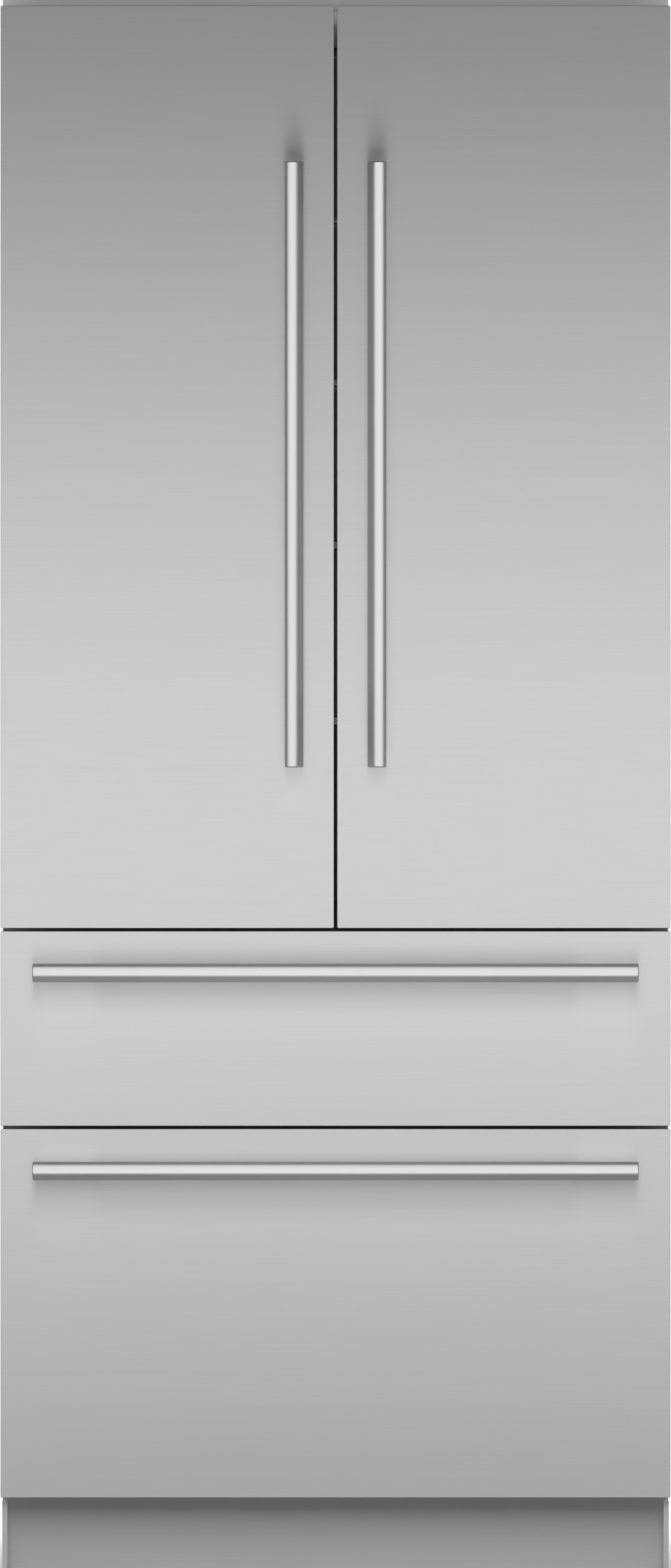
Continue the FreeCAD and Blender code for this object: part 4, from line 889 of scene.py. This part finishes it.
SIDE_END = 70 * MM
low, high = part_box("outer_shell")
stile_low, stile_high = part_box("front_frame")
stile_y = (stile_low.y + stile_high.y) / 2
side_z = np.linspace(low.z + SIDE_END, high.z - SIDE_END, 8)
sides = [screw_heads(lattice(x, stile_y, side_z), np.sign(x) * SIDEWAYS, BACKWARD, FLAT_HEAD)
         for x in (low.x, high.x)]
add_piece("side_screws", piece_mesh("side_screws", *sides), zinc_steel, "cabinet", "zinc_steel")

SCREW_EDGE = 7 * MM
BACK_END = 60 * MM
BACK_HALF_ROW = 0.3
low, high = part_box("back_panel")
cover_low, cover_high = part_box("rear_cover")
side_x = (low.x + SCREW_EDGE, high.x - SCREW_EDGE)
back_seats = np.concatenate([
    lattice(side_x, high.y, np.linspace(low.z + BACK_END, high.z - BACK_END, 7)),
    lattice(np.linspace(-BACK_HALF_ROW, BACK_HALF_ROW, 3), high.y, (high.z - SCREW_EDGE, low.z + SCREW_EDGE)),
    lattice(np.linspace(*side_x, 5), high.y, cover_low.z + SCREW_EDGE),
    lattice(side_x, high.y, cover_high.z - 2 * SCREW_EDGE),
])
mesh = piece_mesh("back_screws", screw_heads(back_seats, BACKWARD, -SIDEWAYS))
add_piece("back_screws", mesh, zinc_steel, "cabinet", "zinc_steel")

ANGLE_SHEET = 3 * MM
ANGLE_X = (-0.33, -0.27, 0.27, 0.33)
ANGLE_EDGE = 18 * MM
low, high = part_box("anti_tip_brackets")
angle_seats = lattice(ANGLE_X, low.y + ANGLE_EDGE, low.z + ANGLE_SHEET)
mesh = piece_mesh("angle_screws", screw_heads(angle_seats, UPWARD, SIDEWAYS))
add_piece("angle_screws", mesh, zinc_steel, "cabinet", "zinc_steel")

# %% [markdown]
# ## Pressed beads
# A large flat sheet drums, so beads are pressed into the back and the top: long ridges with round ends.
# A bump in the finish would vanish at the edges, so each bead is a height over a patch of the sheet,
# closed by an underside.

# %% Beads
BEAD_HALF_LENGTH = 0.34
BEAD_HALF_WIDTH = 13 * MM
BEAD_RISE = 2.4 * MM
BACK_BEAD_END = 0.17
TOP_BEAD_Y = (-0.10, 0.07, 0.24)


def pressed_beads(middles, across, outward):
    """Ridges with round ends, over s along a ridge and t across it, both from -1 to 1.

    The half width w is that of the middle, and falls as a half circle at the ends. The height is the
    rise * (1 - t²)^1.5 * w / the middle's; the underside lies a little inside the sheet.
    """
    s = np.sin(np.linspace(-np.pi / 2, np.pi / 2, 33))
    t = np.concatenate([np.linspace(-1, 1, 11), [1, -1]])[:, None]
    over_end = np.clip((abs(s) - 1) * BEAD_HALF_LENGTH / BEAD_HALF_WIDTH + 1, 0, 1)
    narrow = np.sqrt(1 - over_end ** 2)
    rise = BEAD_RISE * (1 - t ** 2) ** 1.5 * narrow
    rise[-2:] = -SINK
    width = t * narrow * BEAD_HALF_WIDTH
    flat = SIDEWAYS * (s * BEAD_HALF_LENGTH)[:, None] + across * width[..., None]
    return surface(middles[:, None, None] + flat + outward * rise[..., None], along=True)


low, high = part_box("back_panel")
back_middles = lattice(0.0, high.y, np.linspace(low.z + BACK_BEAD_END, high.z - BACK_BEAD_END, 6))
mesh = piece_mesh("back_beads", pressed_beads(back_middles, UPWARD, BACKWARD))
add_piece("back_beads", mesh, spangle, "cabinet", "galvanised")
top_middles = lattice(0.0, TOP_BEAD_Y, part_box("outer_shell")[1].z)
mesh = piece_mesh("top_beads", pressed_beads(top_middles, BACKWARD, UPWARD))
add_piece("top_beads", mesh, cabinet_paint, "cabinet", "cabinet_paint")

# %% [markdown]
# ## Louvres
# Each louvre of the machine bay's cover is a slit whose upper edge is pressed out to a small hood that
# sheds drips. One hood is a height over a patch of the sheet with a second skin behind it, and two more
# axes of the same array set out the rows and columns of the slits.

# %% Louvres
HOOD_HALF_WIDTH = 32 * MM
HOOD_HEIGHT = 8.5 * MM
HOOD_RISE = 4.6 * MM
HOOD_SHEET = 0.8 * MM
LOUVRE_PITCH_X = 84 * MM
LOUVRE_PITCH_Z = 16 * MM
LOUVRE_LIFT = 2.5 * MM
low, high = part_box("rear_cover")
# Over s across the slit and t down the hood, the sheet stands out by the rise * (1 - s^4) * sin(t * pi / 2).
s = np.linspace(-1, 1, 13)
t = np.linspace(0, 1, 6)[:, None]
bulge = HOOD_RISE * (1 - s ** 4) * np.sin(t * np.pi / 2)
skin = np.concatenate([bulge, (bulge - HOOD_SHEET * (abs(s) < 1))[::-1]])
drop = np.concatenate([t, t[::-1]]) * HOOD_HEIGHT
slit_x = (np.arange(8) - 3.5)[:, None, None, None] * LOUVRE_PITCH_X
slit_z = high.z + LOUVRE_LIFT - (np.arange(6) + 1)[None, :, None, None] * LOUVRE_PITCH_Z
place = (slit_x + s * HOOD_HALF_WIDTH, high.y + skin, slit_z - drop)
hoods = np.stack(np.broadcast_arrays(*place), axis=-1)
mesh = piece_mesh("louvre_hoods", surface(hoods, along=True))
add_piece("louvre_hoods", mesh, spangle, "cabinet", "galvanised")

# %% [markdown]
# ## Grommet and inlet thread
# The gland hole in the rear cover has a rubber grommet, a ring with a groove for the sheet: a profile
# turned round an axis. Beside it the water inlet has a brass thread. A thread could be a screw of a
# small triangle; here it is a turned sleeve whose radius swells once for every pitch, shifted a little
# with every step round it.

# %% Grommet and inlet thread
GLAND_X = 0.250
GLAND_Z = 0.139
GROMMET = np.array([(7, -4), (7, 2.2), (7.8, 3), (12.8, 3), (13.8, 2.2), (13.8, 0.1), (10.9, 0.1),
                    (10.9, -1.6), (13.2, -1.6), (13.2, -3.2), (12.4, -4)]) * MM
centre = np.array([GLAND_X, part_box("rear_cover")[1].y, GLAND_Z])
ring = surface(turned(centre, BACKWARD, SIDEWAYS, GROMMET), around=True, along=True)
grommet_rubber = coated("grommet_rubber", 0.03, 0.6, 700.0, 0.00005, wander=0.1)
add_piece("gland_grommet", piece_mesh("gland_grommet", ring), grommet_rubber, "cabinet", "grey_rubber")

THREAD_PITCH = 2.2 * MM
THREAD_DEPTH = 0.4 * MM
INLET_RADIUS = 5.6 * MM
INLET_START = 0.3285
INLET_END = 0.3446
INLET_X = 0.330
along = np.linspace(INLET_START, INLET_END, 60)[:, None]
angle = np.linspace(0, 2 * np.pi, 36, endpoint=False)
swell = 0.5 + 0.5 * np.cos(2 * np.pi * along / THREAD_PITCH - angle)
radius = INLET_RADIUS + THREAD_DEPTH * swell
place = (INLET_X + radius * np.cos(angle), along, GLAND_Z + radius * np.sin(angle))
sleeve = np.stack(np.broadcast_arrays(*place), axis=-1)
mesh = piece_mesh("inlet_thread", surface(capped(sleeve), around=True))
add_piece("inlet_thread", mesh, brass, "cabinet", "brass")

# %% [markdown]
# ## Fan guard
# The freezer's fan blows through a guard of thin rings on spokes, moulded in one with a hub. It stands
# before the round hole in the cover: each ring is a small circle turned round the fan's axis, each
# spoke the same circle along a line, and the hub a turned profile.

# %% Fan guard
GUARD_WIRE = 1.2 * MM
GUARD_Z = 0.499
GUARD_RINGS = (16 * MM, 25 * MM, 34 * MM, 43 * MM)
SPOKE_ENDS = np.array([8, 49])[:, None] * MM
HUB = np.array([(0, -2.6), (6, -2.4), (8.6, -1.6), (9.2, -0.6), (9.2, 1.4), (0, 1.4)]) * MM
low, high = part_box("evaporator_cover")
centre = np.array([0.0, low.y, GUARD_Z])
angle = np.linspace(0, 2 * np.pi, 8, endpoint=False)
wire = GUARD_WIRE * np.stack([np.cos(angle), np.sin(angle)], axis=-1)
rings = [surface(turned(centre, BACKWARD, SIDEWAYS, wire + (radius, 0.0), 64), around=True, along=True)
         for radius in GUARD_RINGS]
way = np.linspace(0, 2 * np.pi, 6, endpoint=False)
outward = np.stack([np.cos(way), 0 * way, np.sin(way)], axis=-1)[:, None]
spokes = swept(centre + outward * SPOKE_ENDS, np.cross(outward, BACKWARD), BACKWARD, wire)
hub = turned(centre, BACKWARD, SIDEWAYS, HUB)
mesh = piece_mesh("fan_guard", *rings, surface(spokes, around=True), surface(hub, around=True))
add_piece("fan_guard", mesh, white_liner, "cabinet", "white_liner")
